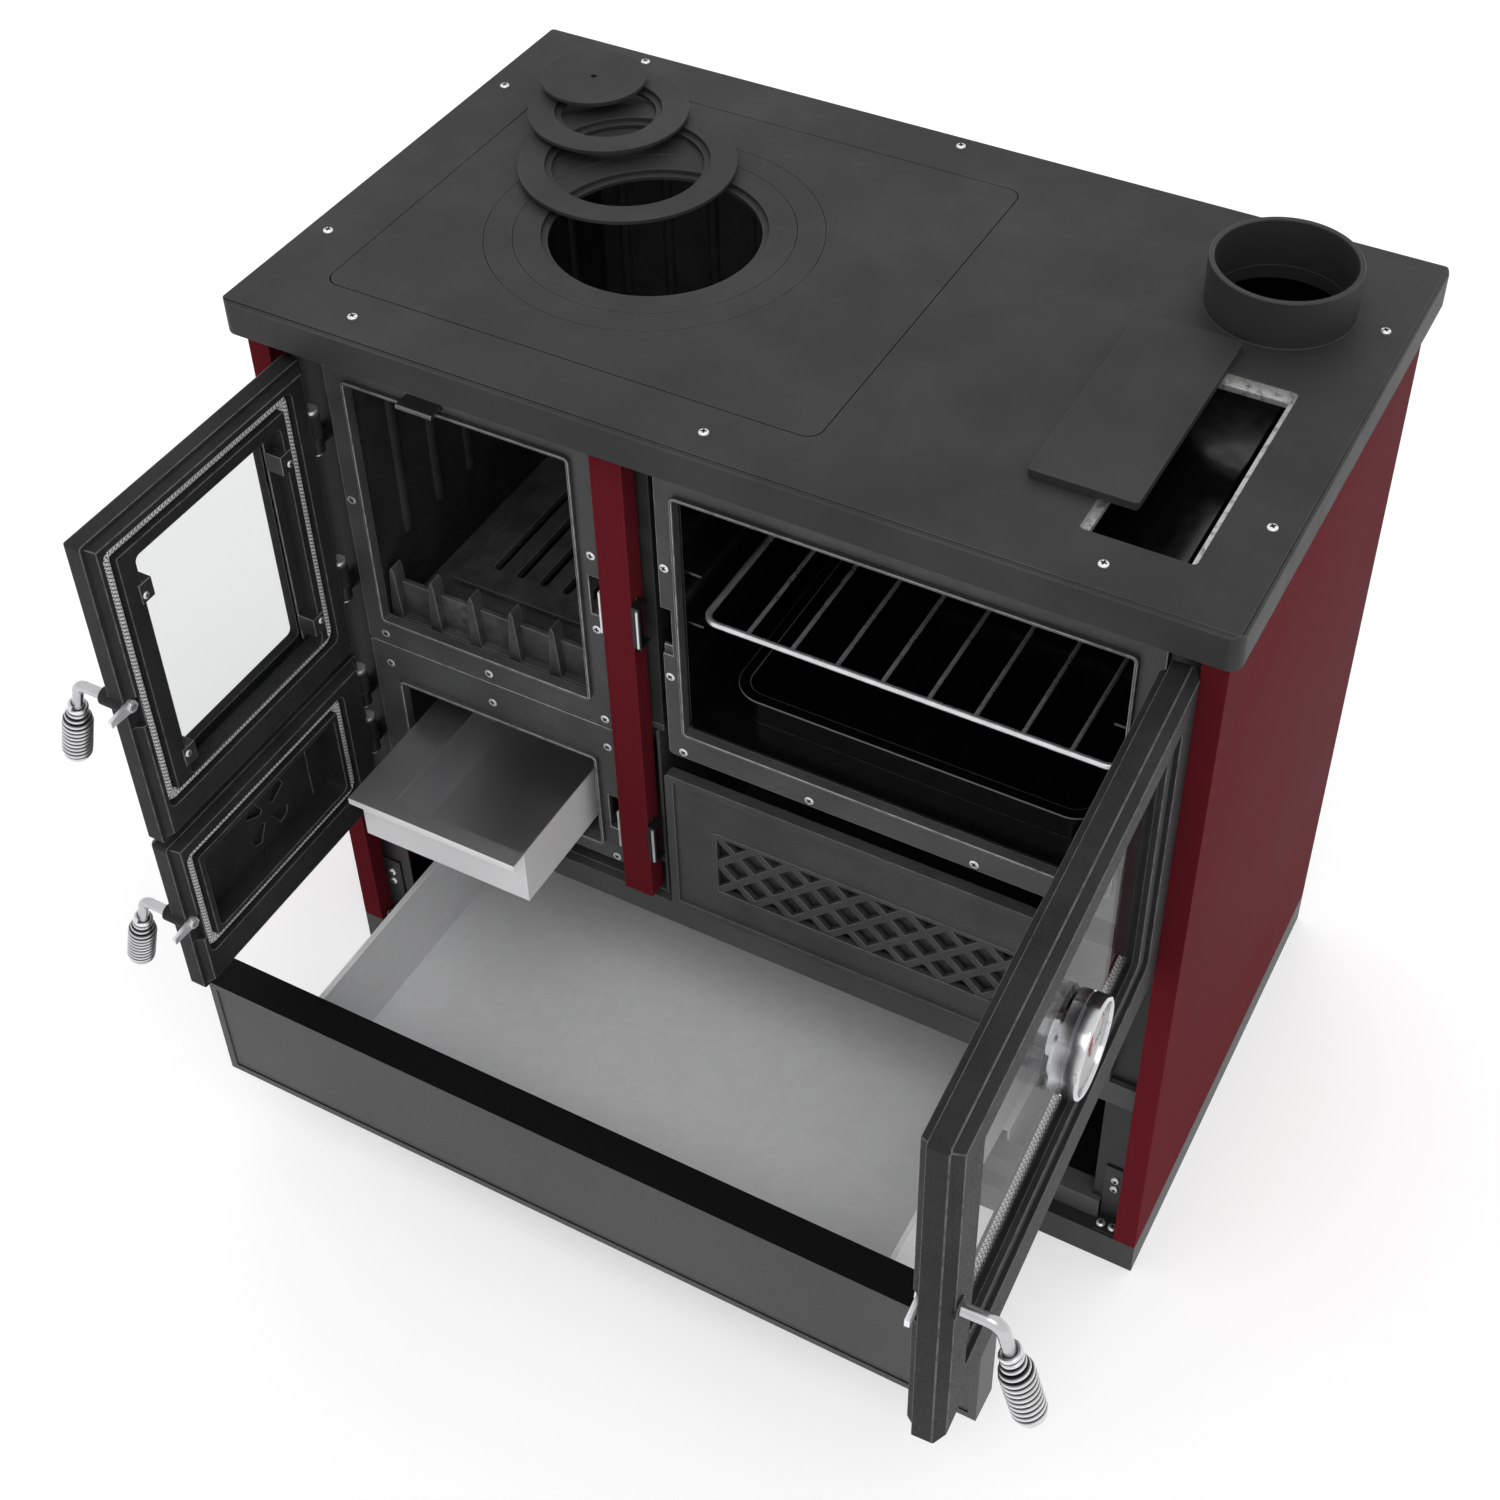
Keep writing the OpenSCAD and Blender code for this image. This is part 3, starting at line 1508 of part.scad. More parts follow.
module oven_rack() {
    bend = 14;
    cross_r = 2;
    x = [rack_x[0] + rack_r, rack_x[1] - rack_r];
    y = [rack_y[0] + rack_r, rack_y[1] - rack_r];
    step = (x[1] - x[0]) / (rack_wires + 1);
    color(chrome) {
        wire_x([x[0] + bend, x[1] - bend], y[0], rack_r);
        wire_x([x[0] + bend, x[1] - bend], y[1], rack_r);
        wire_y(x[0], [y[0] + bend, y[1] - bend], rack_r);
        wire_y(x[1], [y[0] + bend, y[1] - bend], rack_r);
        wire_corner(x[0] + bend, y[0] + bend, 180, bend);
        wire_corner(x[1] - bend, y[0] + bend, 270, bend);
        wire_corner(x[0] + bend, y[1] - bend, 90, bend);
        wire_corner(x[1] - bend, y[1] - bend, 0, bend);
        for (i = [1 : rack_wires])
            wire_y(x[0] + i * step, [y[0], y[1]], cross_r);
    }
}

module baking_tray() {
    beside = 24;
    front = frame_y + 29;
    b = [oven_in[0] + beside, oven_in[1] - beside, front, front + oven_depth - 60];
    rim = 9;
    rim_t = 2;
    r = 30;
    z = oven_in[2] + lay_gap;
    color(black)
        difference() {
            union() {
                translate([0, 0, z])
                    linear_extrude(tray_h)
                        round_rect(grow(b, -rim), r - rim);
                translate([0, 0, z + tray_h - rim_t])
                    linear_extrude(rim_t)
                        round_rect(b, r);
            }
            translate([0, 0, z + sheet_t])
                linear_extrude(tray_h)
                    round_rect(grow(b, -rim - sheet_t), r - rim - sheet_t);
        }
}

// Ash pan

// Folded sheet pan: a front as wide as its flanges, and a body set to the right under them
module ash_pan() {
    lip = 17;
    fold = 8;
    t = 1.5;
    x = [pan_x - pan_w / 2, pan_x + pan_w / 2];
    y = [pan_front + lip, pan_front + pan_l];
    z = [pan_z, pan_z + pan_h];
    body_x = [x[0] + pan_flange, x[1]];
    color(zinc)
        difference() {
            union() {
                block(body_x, y, z);
                block(x, [y[0], y[0] + t], z);
                block(x, [pan_front, y[1]], [z[1] - t, z[1]]);
                block(x, [pan_front, pan_front + t], [z[1] - fold, z[1]]);
                block([x[0], x[0] + t], [pan_front, y[1]], [z[1] - fold, z[1]]);
            }
            block([body_x[0] + t, body_x[1] - t], [y[0] + t, y[1] - t], [z[0] + t, z[1] + 1]);
        }
}

// Wood drawer

// Front folded as a shallow tray, with a raised border
module drawer_front() {
    z = [drawer_bottom, drawer_bottom + drawer_h];
    border = 8;
    face_t = sheet_t + drawer_sink;
    y = [drawer_y, drawer_y + drawer_front_t];
    x = drawer_x;
    color([0.36, 0.36, 0.36])
        difference() {
            block(x, y, z);
            block([x[0] + border, x[1] - border], [y[0] - 1, y[0] + drawer_sink], [z[0] + border, z[1] - border]);
            block([x[0] + sheet_t, x[1] - sheet_t], [y[0] + face_t, y[1] + 1], [z[0] + sheet_t, z[1] - sheet_t]);
        }
}

module drawer_box() {
    z = [runner_top, runner_top + drawer_wall_h];
    y = [drawer_y + drawer_front_t, drawer_y + drawer_front_t + drawer_l];
    x = drawer_box_x;
    hem = 6;
    tab_in = 40;
    tab_z = z[0] + 20;
    face_y = drawer_y + sheet_t + drawer_sink;
    color(zinc)
        union() {
            difference() {
                block(x, y, z);
                block([x[0] + sheet_t, x[1] - sheet_t], [y[0] + sheet_t, y[1] - sheet_t], [z[0] + sheet_t, z[1] + 1]);
            }
            block([x[0], x[0] + hem], y, [z[1] - sheet_t, z[1]]);
            block([x[1] - hem, x[1]], y, [z[1] - sheet_t, z[1]]);
            block([x[0] + tab_in, x[1] - tab_in], [face_y, y[0] + eps], [tab_z, tab_z + sheet_t]);
        }
}

// Draught slide

// Flat bar with a curled finger lip, carried in a slot above the fire frame's lip
module draft_slide() {
    reach = 120;
    z = slide_z + curl_r - slide_t;
    y = lip_y - slide_out + curl_r;
    color(iron)
        union() {
            block(slide_x, [y, y + reach], [z, z + slide_t]);
            translate([slide_x[0], y, slide_z])
                rotate([0, 90, 0])
                    cylinder(h = slide_x[1] - slide_x[0], r = curl_r, $fn = small_fn);
        }
}

plinth();
left_side_panel();
right_side_panel();
centre_post();
back_panel();
hinge_plates();
corner_brackets();
front_rails();
shelf_sheet();
drawer_runners();
fire_frame();
ash_frame();
oven_frame();
lattice_panel();
firebox_linings();
hearth_plate();
grate();
log_guard();
ash_chamber();
oven_box();
top_plate();
hotplate();
outer_ring();
middle_ring();
flue_collar();
door_catches();
hinge_pins();
body_screws();
fire_door_frame();
fire_glass();
fire_gasket();
fire_glass_clips();
fire_handle();
fire_grip();
fire_pawl();
ash_door_frame();
ash_gasket();
air_disc();
ash_handle();
ash_grip();
ash_pawl();
oven_door_frame();
oven_glass();
oven_gasket();
thermometer_case();
thermometer_dial();
thermometer_pointer();
oven_handle();
oven_grip();
oven_pawl();
oven_rack();
baking_tray();
ash_pan();
drawer_front();
drawer_box();
draft_slide();
soot_lid();
big_ring();
small_ring();
centre_disc();
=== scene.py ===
import json
import math

import bmesh
import bpy
from bpy.props import FloatProperty, FloatVectorProperty, IntProperty, PointerProperty
from mathutils import Matrix, Vector
from mathutils.bvhtree import BVHTree


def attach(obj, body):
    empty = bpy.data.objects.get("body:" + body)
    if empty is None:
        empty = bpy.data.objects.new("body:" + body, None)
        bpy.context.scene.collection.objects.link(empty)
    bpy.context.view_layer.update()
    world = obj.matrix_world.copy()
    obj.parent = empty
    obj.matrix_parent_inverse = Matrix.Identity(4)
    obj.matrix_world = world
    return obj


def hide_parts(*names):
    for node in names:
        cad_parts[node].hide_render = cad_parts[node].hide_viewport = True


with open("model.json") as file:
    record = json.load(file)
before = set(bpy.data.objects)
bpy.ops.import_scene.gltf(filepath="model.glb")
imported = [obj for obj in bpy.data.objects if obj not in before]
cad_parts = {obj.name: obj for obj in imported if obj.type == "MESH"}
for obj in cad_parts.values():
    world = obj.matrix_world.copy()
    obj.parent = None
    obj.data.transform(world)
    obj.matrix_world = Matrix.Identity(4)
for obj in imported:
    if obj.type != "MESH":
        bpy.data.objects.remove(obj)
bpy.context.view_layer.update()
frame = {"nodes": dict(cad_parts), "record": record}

bl_info = {
    "name": "Wood cookstove",
    "version": (1, 0, 0),
    "blender": (4, 5, 0),
    "location": "View3D > Sidebar > Cookstove",
    "description": "Castings, enamel, rope seals, coil grips and studio for a wood cookstove",
    "category": "Object",
}

MM = 0.001
# A copy whose filled faces cover more than this share of the first area was filled wrongly
AREA_SLACK = 1.00005
# How far a bevelled point may stand off the solid: outside it in metres, and inside it in bevel radii
STRAY_OUT = 0.00002
STRAY_IN = 0.8
# Height of a face's normal: walls stay under the first, and level tops over the second
WALL = 0.3
LEVEL = 0.9
BODY_OF = {node: body for body, nodes in frame["record"]["behaviour"]["bodies"].items() for node in nodes}
SLOT_OF = {part["node"]: part["material_slot"] for part in frame["record"]["subparts"]}

# Hinge lines on the floor plan, in metres, and how far each door stands open, in degrees
HINGE_AT = {"fire": (-0.398, -0.245), "ash": (-0.398, -0.245), "oven": (0.409, -0.245)}
OPEN_ANGLE = {"fire": -90.0, "ash": -90.0, "oven": 92.5}


def colour(name, description, default):
    return FloatVectorProperty(name=name, description=description, default=default, subtype="COLOR",
                               size=3, min=0.0, max=1.0)


def length(name, description, default):
    return FloatProperty(name=name, description=description, default=default, min=0.0,
                         unit="LENGTH", subtype="DISTANCE", precision=5)


def angle(name, description, degrees):
    return FloatProperty(name=name, description=description, default=math.radians(degrees), subtype="ANGLE")


def strength(name, description, default):
    return FloatProperty(name=name, description=description, default=default, min=0.0)


def number(name, description, default, least, most):
    return IntProperty(name=name, description=description, default=default, min=least, max=most)


class StoveFinishes(bpy.types.PropertyGroup):
    """Colours of the stove's paints, enamels and metals."""

    plate: colour("Cooktop paint", "Matt paint on the top plate and rings", (0.023, 0.0232, 0.0238))
    castings: colour("Door castings", "Black paint on the cast doors", (0.009, 0.0092, 0.0095))
    frames: colour("Front castings", "Grey-black paint on the cast frames", (0.054, 0.055, 0.0555))
    bare_edge: colour("Bare edges", "Iron that shows where a casting's edges are rubbed", (0.42, 0.42, 0.415))
    enamel: colour("Side enamel", "Burgundy enamel on the side panels and posts", (0.118, 0.0125, 0.0175))
    drawer: colour("Drawer paint", "Satin paint on the drawer's front", (0.038, 0.038, 0.0385))
    zinc: colour("Galvanised sheet", "Dull zinc on the drawer's sheet", (0.74, 0.745, 0.75))
    pan: colour("Ash pan sheet", "Brighter zinc on the ash pan", (0.9, 0.9, 0.91))
    plating: colour("Bright plating", "Plated rods, coils, wires and the thermometer", (0.56, 0.56, 0.57))
    rope: colour("Rope seals", "Braided glass-fibre rope", (0.68, 0.68, 0.67))
    glass: colour("Door glass", "Tint of the heat-proof glass", (0.74, 0.755, 0.755))
    soot: colour("Firebox iron", "Raw iron inside the firebox", (0.05, 0.05, 0.051))
    oven: colour("Oven enamel", "Glossy black enamel inside the oven", (0.003, 0.003, 0.0032))
    tray: colour("Tray enamel", "Glossy black enamel on the baking tray", (0.002, 0.002, 0.0022))
    dial: colour("Dial", "Lacquered face of the thermometer", (0.8, 0.8, 0.77))
    ink: colour("Dial ink", "Scale and numbers on the thermometer", (0.02, 0.02, 0.02))
    pointer: colour("Pointer", "Red of the pointer and of the scale's hottest part", (0.55, 0.02, 0.015))


class StoveDetails(bpy.types.PropertyGroup):
    """Sizes of the fine forms that the castings and the sheet metal get."""

    sheet_edge: length("Sheet edge", "Radius along the edges of folded sheet", 0.0005)
    cast_edge: length("Casting edge", "Radius along the edges of castings", 0.0011)
    ring_edge: length("Ring edge", "Radius along the edges of the rings and covers", 0.0009)
    coil_sides: number("Coil sides", "Sides of the coil grips' wire", 12, 6, 24)
    coil_steps: number("Coil steps", "Steps in each turn of the coil grips", 28, 12, 48)
    rope_sides: number("Rope sides", "Sides of the rope seals", 20, 8, 32)
    braid: length("Braid length", "Length of one crossing in the rope's braid", 0.0042)


class StoveStage(bpy.types.PropertyGroup):
    """Camera and light."""

    lens: FloatProperty(name="Lens", description="Focal length on a 36 mm sensor, in millimetres",
                        default=55.16, min=20.0)
    yaw: angle("Yaw", "Angle of the camera to the stove's right", 27.88)
    pitch: angle("Pitch", "Angle at which the camera looks down", 42.19)
    roll: angle("Roll", "Turn of the picture about its centre", -0.27)
    place: FloatVectorProperty(name="Place", description="Where the camera stands",
                               default=(0.7424, -1.4596, 1.9878), subtype="TRANSLATION")
    shift: FloatVectorProperty(name="Shift", description="Shift of the picture's centre",
                               default=(-0.0401, -0.1067), size=2)
    sky: strength("Sky", "Strength of the even light from all round", 0.84)
    key: strength("Key light", "Strength of the soft lamp above", 0.62)


# Materials

class Signal:
    """A node's socket, on which arithmetic adds Math nodes."""

    def __init__(self, finish, socket):
        self.finish = finish
        self.socket = socket

    def math(self, operation, *values):
        return self.finish.add("ShaderNodeMath", {"operation": operation}, dict(enumerate(values)))

    def __add__(self, other):
        return self.math("ADD", self, other)

    def __radd__(self, other):
        return self.math("ADD", other, self)

    def __sub__(self, other):
        return self.math("SUBTRACT", self, other)

    def __rsub__(self, other):
        return self.math("SUBTRACT", other, self)

    def __mul__(self, other):
        return self.math("MULTIPLY", self, other)

    def __rmul__(self, other):
        return self.math("MULTIPLY", other, self)

    def wave(self):
        """Humps of one unit's length, from 0 to 1."""
        return self.math("ABSOLUTE", self.math("SINE", self * math.pi))

    def between(self, low, high, start=0.0, end=1.0):
        """Eases from start to end while the signal goes from low to high."""
        settings = {"interpolation_type": "SMOOTHSTEP"}
        inputs = {"Value": self, "From Min": low, "From Max": high, "To Min": start, "To Max": end}
        return self.finish.add("ShaderNodeMapRange", settings, inputs)


class NodeBench:
    """Adds nodes to a tree and joins their sockets."""

    def __init__(self, tree):
        self.tree = tree

    def add(self, kind, settings=None, inputs=None, output=0):
        """Adds a node of any type: settings first, then the values or links of its sockets."""
        node = self.tree.nodes.new(kind)
        for name, value in (settings or {}).items():
            setattr(node, name, value)
        for name, value in (inputs or {}).items():
            self.join(node.inputs[name], value)
        return Signal(self, node.outputs[output])

    def join(self, socket, value):
        if isinstance(value, Signal):
            self.tree.links.new(value.socket, socket)
        elif socket.type == "RGBA":
            socket.default_value = (*value, 1.0)[:4]
        else:
            socket.default_value = value

    def looked_at(self):
        """1 for what the camera, the metal and the glass see, and 0 for what lights the stove."""
        camera, glossy, through = (self.add("ShaderNodeLightPath", output=ray)
                                   for ray in ("Is Camera Ray", "Is Glossy Ray", "Is Transmission Ray"))
        return camera + glossy + through

    def blend(self, factor, first, second):
        """Shows one shader or another through a Mix Shader node."""
        return self.add("ShaderNodeMixShader", None, {0: factor, 1: first, 2: second}, "Shader")


def socket_name(word):
    """The shader's own name for a socket, such as Specular IOR Level for specular_ior_level."""
    return word.replace("_", " ").title().replace("Ior", "IOR")


class Finish(NodeBench):
    """A procedural material, built on one Principled shader."""

    def __init__(self, name, **constants):
        self.material = bpy.data.materials.new(name)
        self.material.use_nodes = True
        super().__init__(self.material.node_tree)
        self.surface = self.tree.nodes["Principled BSDF"]
        for socket, value in constants.items():
            self.surface.inputs[socket_name(socket)].default_value = value

    def place(self):
        return self.add("ShaderNodeTexCoord", output="Object")

    def stretched(self, scale):
        return self.add("ShaderNodeMapping", None, {"Vector": self.place(), "Scale": scale})

    def noise(self, scale, detail=3.0, roughness=0.5, where=None):
        inputs = {"Vector": where or self.place(), "Scale": scale, "Detail": detail, "Roughness": roughness}
        return self.add("ShaderNodeTexNoise", None, inputs, "Fac")

    def cells(self, scale, feature="F1", output="Distance"):
        inputs = {"Vector": self.place(), "Scale": scale}
        return self.add("ShaderNodeTexVoronoi", {"feature": feature}, inputs, output)

    def mark(self, name):
        """A piece's own mark: edge wear and painted highlight on rounded edges, painted shade in recesses,
        and the faces that a test picks.
        """
        return self.add("ShaderNodeAttribute", {"attribute_name": name}, None, "Fac")

    # Rounded edges, marked both for wear and for painted highlight
    def edge_wear_and_highlight(self):
        return self.mark("edge_wear_and_highlight")

    def mix(self, factor, first, second):
        """Mixes two colours. A Mix node's sockets for them are numbers 6 and 7, and 2 on its way out."""
        return self.add("ShaderNodeMix", {"data_type": "RGBA"}, {0: factor, 6: first, 7: second}, 2)

    def bump(self, height, strength, distance):
        inputs = {"Height": height, "Strength": strength, "Distance": distance}
        self.join(self.surface.inputs["Normal"], self.add("ShaderNodeBump", None, inputs))

    def set(self, **links):
        for name, value in links.items():
            self.join(self.surface.inputs[socket_name(name)], value)
        return self.material


def shade(base, factor):
    return tuple(min(1.0, channel * factor) for channel in base)


def plate_paint(name, base, edge, iron):
    """Matt paint with a fine sandy tooth, lighter along its rounded edges, partly polish where pans rub it
    and partly painted highlight, and off on the bare ledges.
    """
    finish = Finish(name, specular_ior_level=0.32)
    grain = finish.noise(1700.0, 2.0)
    clouds = finish.noise(9.0, 4.0, 0.6)
    specks = finish.cells(900.0).between(0.0, 0.16, 1.0, 0.0)
    tone = finish.mix(clouds.between(0.3, 0.75), shade(base, 0.86), shade(base, 1.18))
    tone = finish.mix(specks * 0.5, tone, shade(base, 1.9))
    # Lighter rounded edges: partly polish, partly painted highlight
    tone = finish.mix(finish.edge_wear_and_highlight() * clouds.between(0.25, 0.6, 0.2, 0.6), tone, edge)
    picked_faces = finish.mark("picked_faces") * finish.noise(130.0, 4.0, 0.7).between(0.3, 0.55, 0.25, 1.0)
    tone = finish.mix(picked_faces, tone, iron)
    finish.bump(grain + finish.noise(420.0, 2.0) * 0.7, 0.34, 0.00035)
    finish.set(base_color=tone, metallic=picked_faces * 0.6)
    return finish.set(roughness=clouds.between(0.3, 0.8, 0.6, 0.46) + grain * 0.06 - picked_faces * 0.15)


def casting_paint(name, base, edge, amount, grit, gloss=0.4):
    """Painted sand casting: grainy skin, small pits, and lighter rubbed edges, partly iron showing through
    and partly painted highlight.
    """
    finish = Finish(name, specular_ior_level=gloss)
    skin = finish.noise(620.0, 4.0, 0.65)
    pits = finish.cells(480.0).between(0.05, 0.3)
    clouds = finish.noise(14.0, 4.0, 0.6)
    # Rubbed edges: partly bare iron from wear, partly painted highlight
    rub_and_highlight = finish.edge_wear_and_highlight() * finish.noise(85.0, 3.0, 0.6).between(0.28, 0.62, 0.35, 1.0) * amount
    tone = finish.mix(clouds.between(0.3, 0.7), shade(base, 0.8), shade(base, 1.25))
    tone = finish.mix(skin.between(0.52, 0.74, 0.0, 0.5), tone, shade(base, 2.3))
    tone = finish.mix(rub_and_highlight, tone, edge)
    finish.bump(skin + pits * 0.5, 0.5, grit)
    finish.set(base_color=tone, roughness=skin.between(0.3, 0.7, 0.62, 0.42) - rub_and_highlight * 0.14)
    return finish.set(metallic=rub_and_highlight * 0.5)


def side_enamel(name, base):
    """Satin enamel on sheet: faint orange-peel, a slow drift of tone and a painted highlight along the folds.
    """
    # So low an IOR keeps faces that are seen at a slant as red as the rest
    finish = Finish(name, ior=1.02)
    peel = finish.noise(260.0, 2.0, 0.4)
    drift = finish.noise(3.0, 2.0)
    dust = finish.noise(1500.0, 2.0).between(0.62, 0.8)
    tone = finish.mix(drift.between(0.25, 0.75), shade(base, 0.9), shade(base, 1.12))
    # Painted highlight along the folds
    tone = finish.mix(finish.edge_wear_and_highlight() * 0.5, tone, shade(base, 1.9))
    tone = finish.mix(dust * 0.1, tone, shade(base, 1.8))
    finish.bump(peel, 0.12, 0.0004)
    return finish.set(base_color=tone, roughness=drift.between(0.2, 0.8, 0.34, 0.44))


def satin_paint(name, base, rough):
    """Powder paint on folded sheet, with its fine pebbled skin, lighter rounded edges, partly rubbed paint
    and partly painted highlight, and black on the faces that a test picks.
    """
    finish = Finish(name, specular_ior_level=0.4)
    pebble = finish.cells(1100.0, "SMOOTH_F1")
    clouds = finish.noise(6.0, 3.0)
    # Lighter rounded edges: partly rubbed paint, partly painted highlight
    rub_and_highlight = finish.edge_wear_and_highlight() * finish.noise(120.0, 2.0).between(0.3, 0.6, 0.2, 0.8)
    tone = finish.mix(clouds.between(0.3, 0.7), shade(base, 0.88), shade(base, 1.14))
    tone = finish.mix(rub_and_highlight * 0.6, tone, shade(base, 3.2))
    black = finish.mark("picked_faces")
    tone = finish.mix(black, tone, shade(base, 0.2))
    finish.bump(pebble, 0.25, 0.0003)
    finish.set(base_color=tone, metallic=black * 0.85)
    return finish.set(roughness=pebble.between(0.1, 0.6, rough - 0.06, rough + 0.08) + black * 0.2)


def raw_iron(name, base):
    """Unpainted cast iron that has seen a test fire: mottled, with paler ash in the hollows, and paler
    rounded edges, partly rubbed iron and partly painted highlight.
    """
    finish = Finish(name, specular_ior_level=0.35)
    mottle = finish.noise(30.0, 5.0, 0.65)
    grain = finish.noise(520.0, 4.0, 0.7)
    ash = finish.noise(11.0, 4.0).between(0.5, 0.8) * finish.noise(160.0, 3.0).between(0.35, 0.7)
    tone = finish.mix(mottle.between(0.3, 0.7), shade(base, 0.7), shade(base, 1.5))
    tone = finish.mix(ash * 0.35, tone, shade(base, 4.5))
    # Paler rounded edges: partly rubbed iron, partly painted highlight
    tone = finish.mix(finish.edge_wear_and_highlight() * 0.5, tone, shade(base, 4.0))
    finish.bump(grain + mottle * 0.6, 0.55, 0.0006)
    return finish.set(base_color=tone, roughness=grain.between(0.3, 0.7, 0.78, 0.55))


def gloss_enamel(name, base, rim=0.0):
    """Glossy black enamel with fine pale flecks, and a painted highlight along a rim."""
    finish = Finish(name, specular_ior_level=0.4, coat_roughness=0.08)
    flecks = finish.cells(700.0).between(0.0, 0.12, 1.0, 0.0) * finish.noise(210.0, 2.0).between(0.5, 0.7)
    ripple = finish.noise(70.0, 2.0)
    tone = finish.mix(flecks * 0.5, base, shade(base, 12.0))
    # Painted highlight along the rim, as strong as rim asks
    tone = finish.mix(finish.edge_wear_and_highlight() * rim, tone, (0.4, 0.4, 0.4))
    finish.bump(ripple, 0.06, 0.0006)
    return finish.set(base_color=tone, roughness=ripple.between(0.3, 0.7, 0.16, 0.26), coat_weight=0.2)


def galvanised(name, base, metal, rough):
    """Zinc-coated sheet: rolling lines along X, faint spangles, light scuffs, and bright rounded edges,
    partly cut edges and partly painted highlight.
    """
    finish = Finish(name, metallic=metal, specular_ior_level=0.35)
    grey = finish.add("ShaderNodeRGBToBW", None, {"Color": finish.cells(95.0, output="Color")})
    rolled = finish.noise(240.0, 3.0, 0.6, finish.stretched((0.06, 1.0, 1.0)))
    scuff = finish.noise(18.0, 5.0, 0.7).between(0.55, 0.8)
    tone = finish.mix(grey.between(0.2, 0.9), shade(base, 0.98), shade(base, 1.015))
    tone = finish.mix(scuff * 0.1, tone, shade(base, 0.8))
    # Bright rounded edges: partly cut edges, partly painted highlight
    tone = finish.mix(finish.edge_wear_and_highlight() * 0.7, tone, shade(base, 1.6))
    finish.bump(rolled + grey * 0.2, 0.04, 0.0003)
    dull = grey.between(0.0, 1.0, rough - 0.02, rough + 0.02) + rolled * 0.05
    return finish.set(base_color=tone, roughness=dull)


def bright_sheet(name, base, rough):
    """Bright rolled sheet: mirror-like inside, with its outer walls painted as a pale, lit, non-metallic
    copy, and lighter rounded edges, partly bright cut edges and partly painted highlight.
    """
    finish = Finish(name, specular_ior_level=0.3)
    rolled = finish.noise(300.0, 3.0, 0.6, finish.stretched((0.05, 1.0, 1.0)))
    clouds = finish.noise(8.0, 3.0)
    # The picked faces are the outer walls, painted as a lit, pale and non-metallic copy of the sheet
    outer = finish.mark("picked_faces")
    inside = finish.mix(clouds.between(0.3, 0.7), shade(base, 0.9), base)
    painted_lit_outside = finish.mix(clouds.between(0.3, 0.7), shade(base, 0.95), shade(base, 1.02))
    # Lighter rounded edges: partly cut edges, partly painted highlight
    tone = finish.mix(finish.edge_wear_and_highlight() * 0.8, finish.mix(outer, inside, painted_lit_outside), shade(base, 1.1))
    finish.bump(rolled, 0.03, 0.0003)
    finish.set(base_color=tone, metallic=1.0 - outer * 0.85)
    return finish.set(roughness=clouds.between(0.3, 0.7, rough, rough + 0.03) + rolled * 0.03)


def bright_plating(name, base, rough, metal=1.0, use=1.0):
    """Plated steel with faint drawing lines, marks that grow with its use, and painted shade in its recesses.
    """
    finish = Finish(name, metallic=metal)
    drawn = finish.noise(1400.0, 2.0, 0.5, finish.stretched((1.0, 1.0, 0.08)))
    marks = finish.noise(60.0, 4.0, 0.6)
    tone = finish.mix(marks.between(0.35, 0.7), shade(base, 1.0 - 0.12 * use), shade(base, 1.0 + 0.06 * use))
    painted_shade = finish.mark("painted_shade")
    # Painted shade where the piece marks its recesses
    tone = finish.mix(painted_shade * 0.97, tone, shade(base, 0.03))
    finish.bump(drawn, 0.08 * use, 0.0002)
    dull = marks.between(0.3, 0.75, rough, rough + 0.12 * use) + painted_shade * 0.4
    return finish.set(base_color=tone, roughness=dull)


def clear_glass(name, base):
    """Heat-proof glass with faint wipe marks, and an IOR low enough to keep its mirror images faint."""
    finish = Finish(name, base_color=(*base, 1.0), transmission_weight=1.0, ior=1.04)
    haze = finish.noise(24.0, 4.0, 0.6, finish.stretched((1.0, 1.0, 0.3)))
    return finish.set(roughness=haze.between(0.5, 0.85, 0.0, 0.03))


def rope_braid(name, base):
    """Braided glass fibre along the rope's own UV map: two sets of strands that pass over and under, with
    painted shade in the low parts between strands and a painted highlight on the crowns.
    """
    finish = Finish(name, specular_ior_level=0.25)
    where = finish.add("ShaderNodeUVMap", {"uv_map": "braid"})
    u = finish.add("ShaderNodeSeparateXYZ", None, {"Vector": where}, "X")
    v = finish.add("ShaderNodeSeparateXYZ", None, {"Vector": where}, "Y")
    over = u.wave().between(0.4, 0.9)
    height = (u + v).wave() * over + (u - v).wave() * (1.0 - over)
    fuzz = finish.noise(2600.0, 3.0, 0.7)
    soil = finish.noise(40.0, 3.0).between(0.4, 0.75)
    # Painted shade in the braid's low parts and painted highlight on its crowns
    tone = finish.mix(height.between(0.35, 0.85), shade(base, 0.1), shade(base, 1.45))
    tone = finish.mix(fuzz.between(0.5, 0.75, 0.0, 0.3), tone, shade(base, 1.5))
    tone = finish.mix(soil * 0.3, tone, shade(base, 0.4))
    finish.bump(height + fuzz * 0.3, 0.8, 0.0009)
    return finish.set(base_color=tone, roughness=fuzz.between(0.3, 0.7, 0.95, 0.8))


def printed_dial(name, base):
    """Lacquered print with a fine skin and hardly a cloud in it."""
    finish = Finish(name, specular_ior_level=0.5)
    clouds = finish.noise(45.0, 3.0)
    tone = finish.mix(clouds.between(0.3, 0.7), shade(base, 0.94), base)
    finish.bump(finish.noise(1800.0, 2.0), 0.05, 0.0001)
    return finish.set(base_color=tone, roughness=clouds.between(0.3, 0.7, 0.35, 0.45))


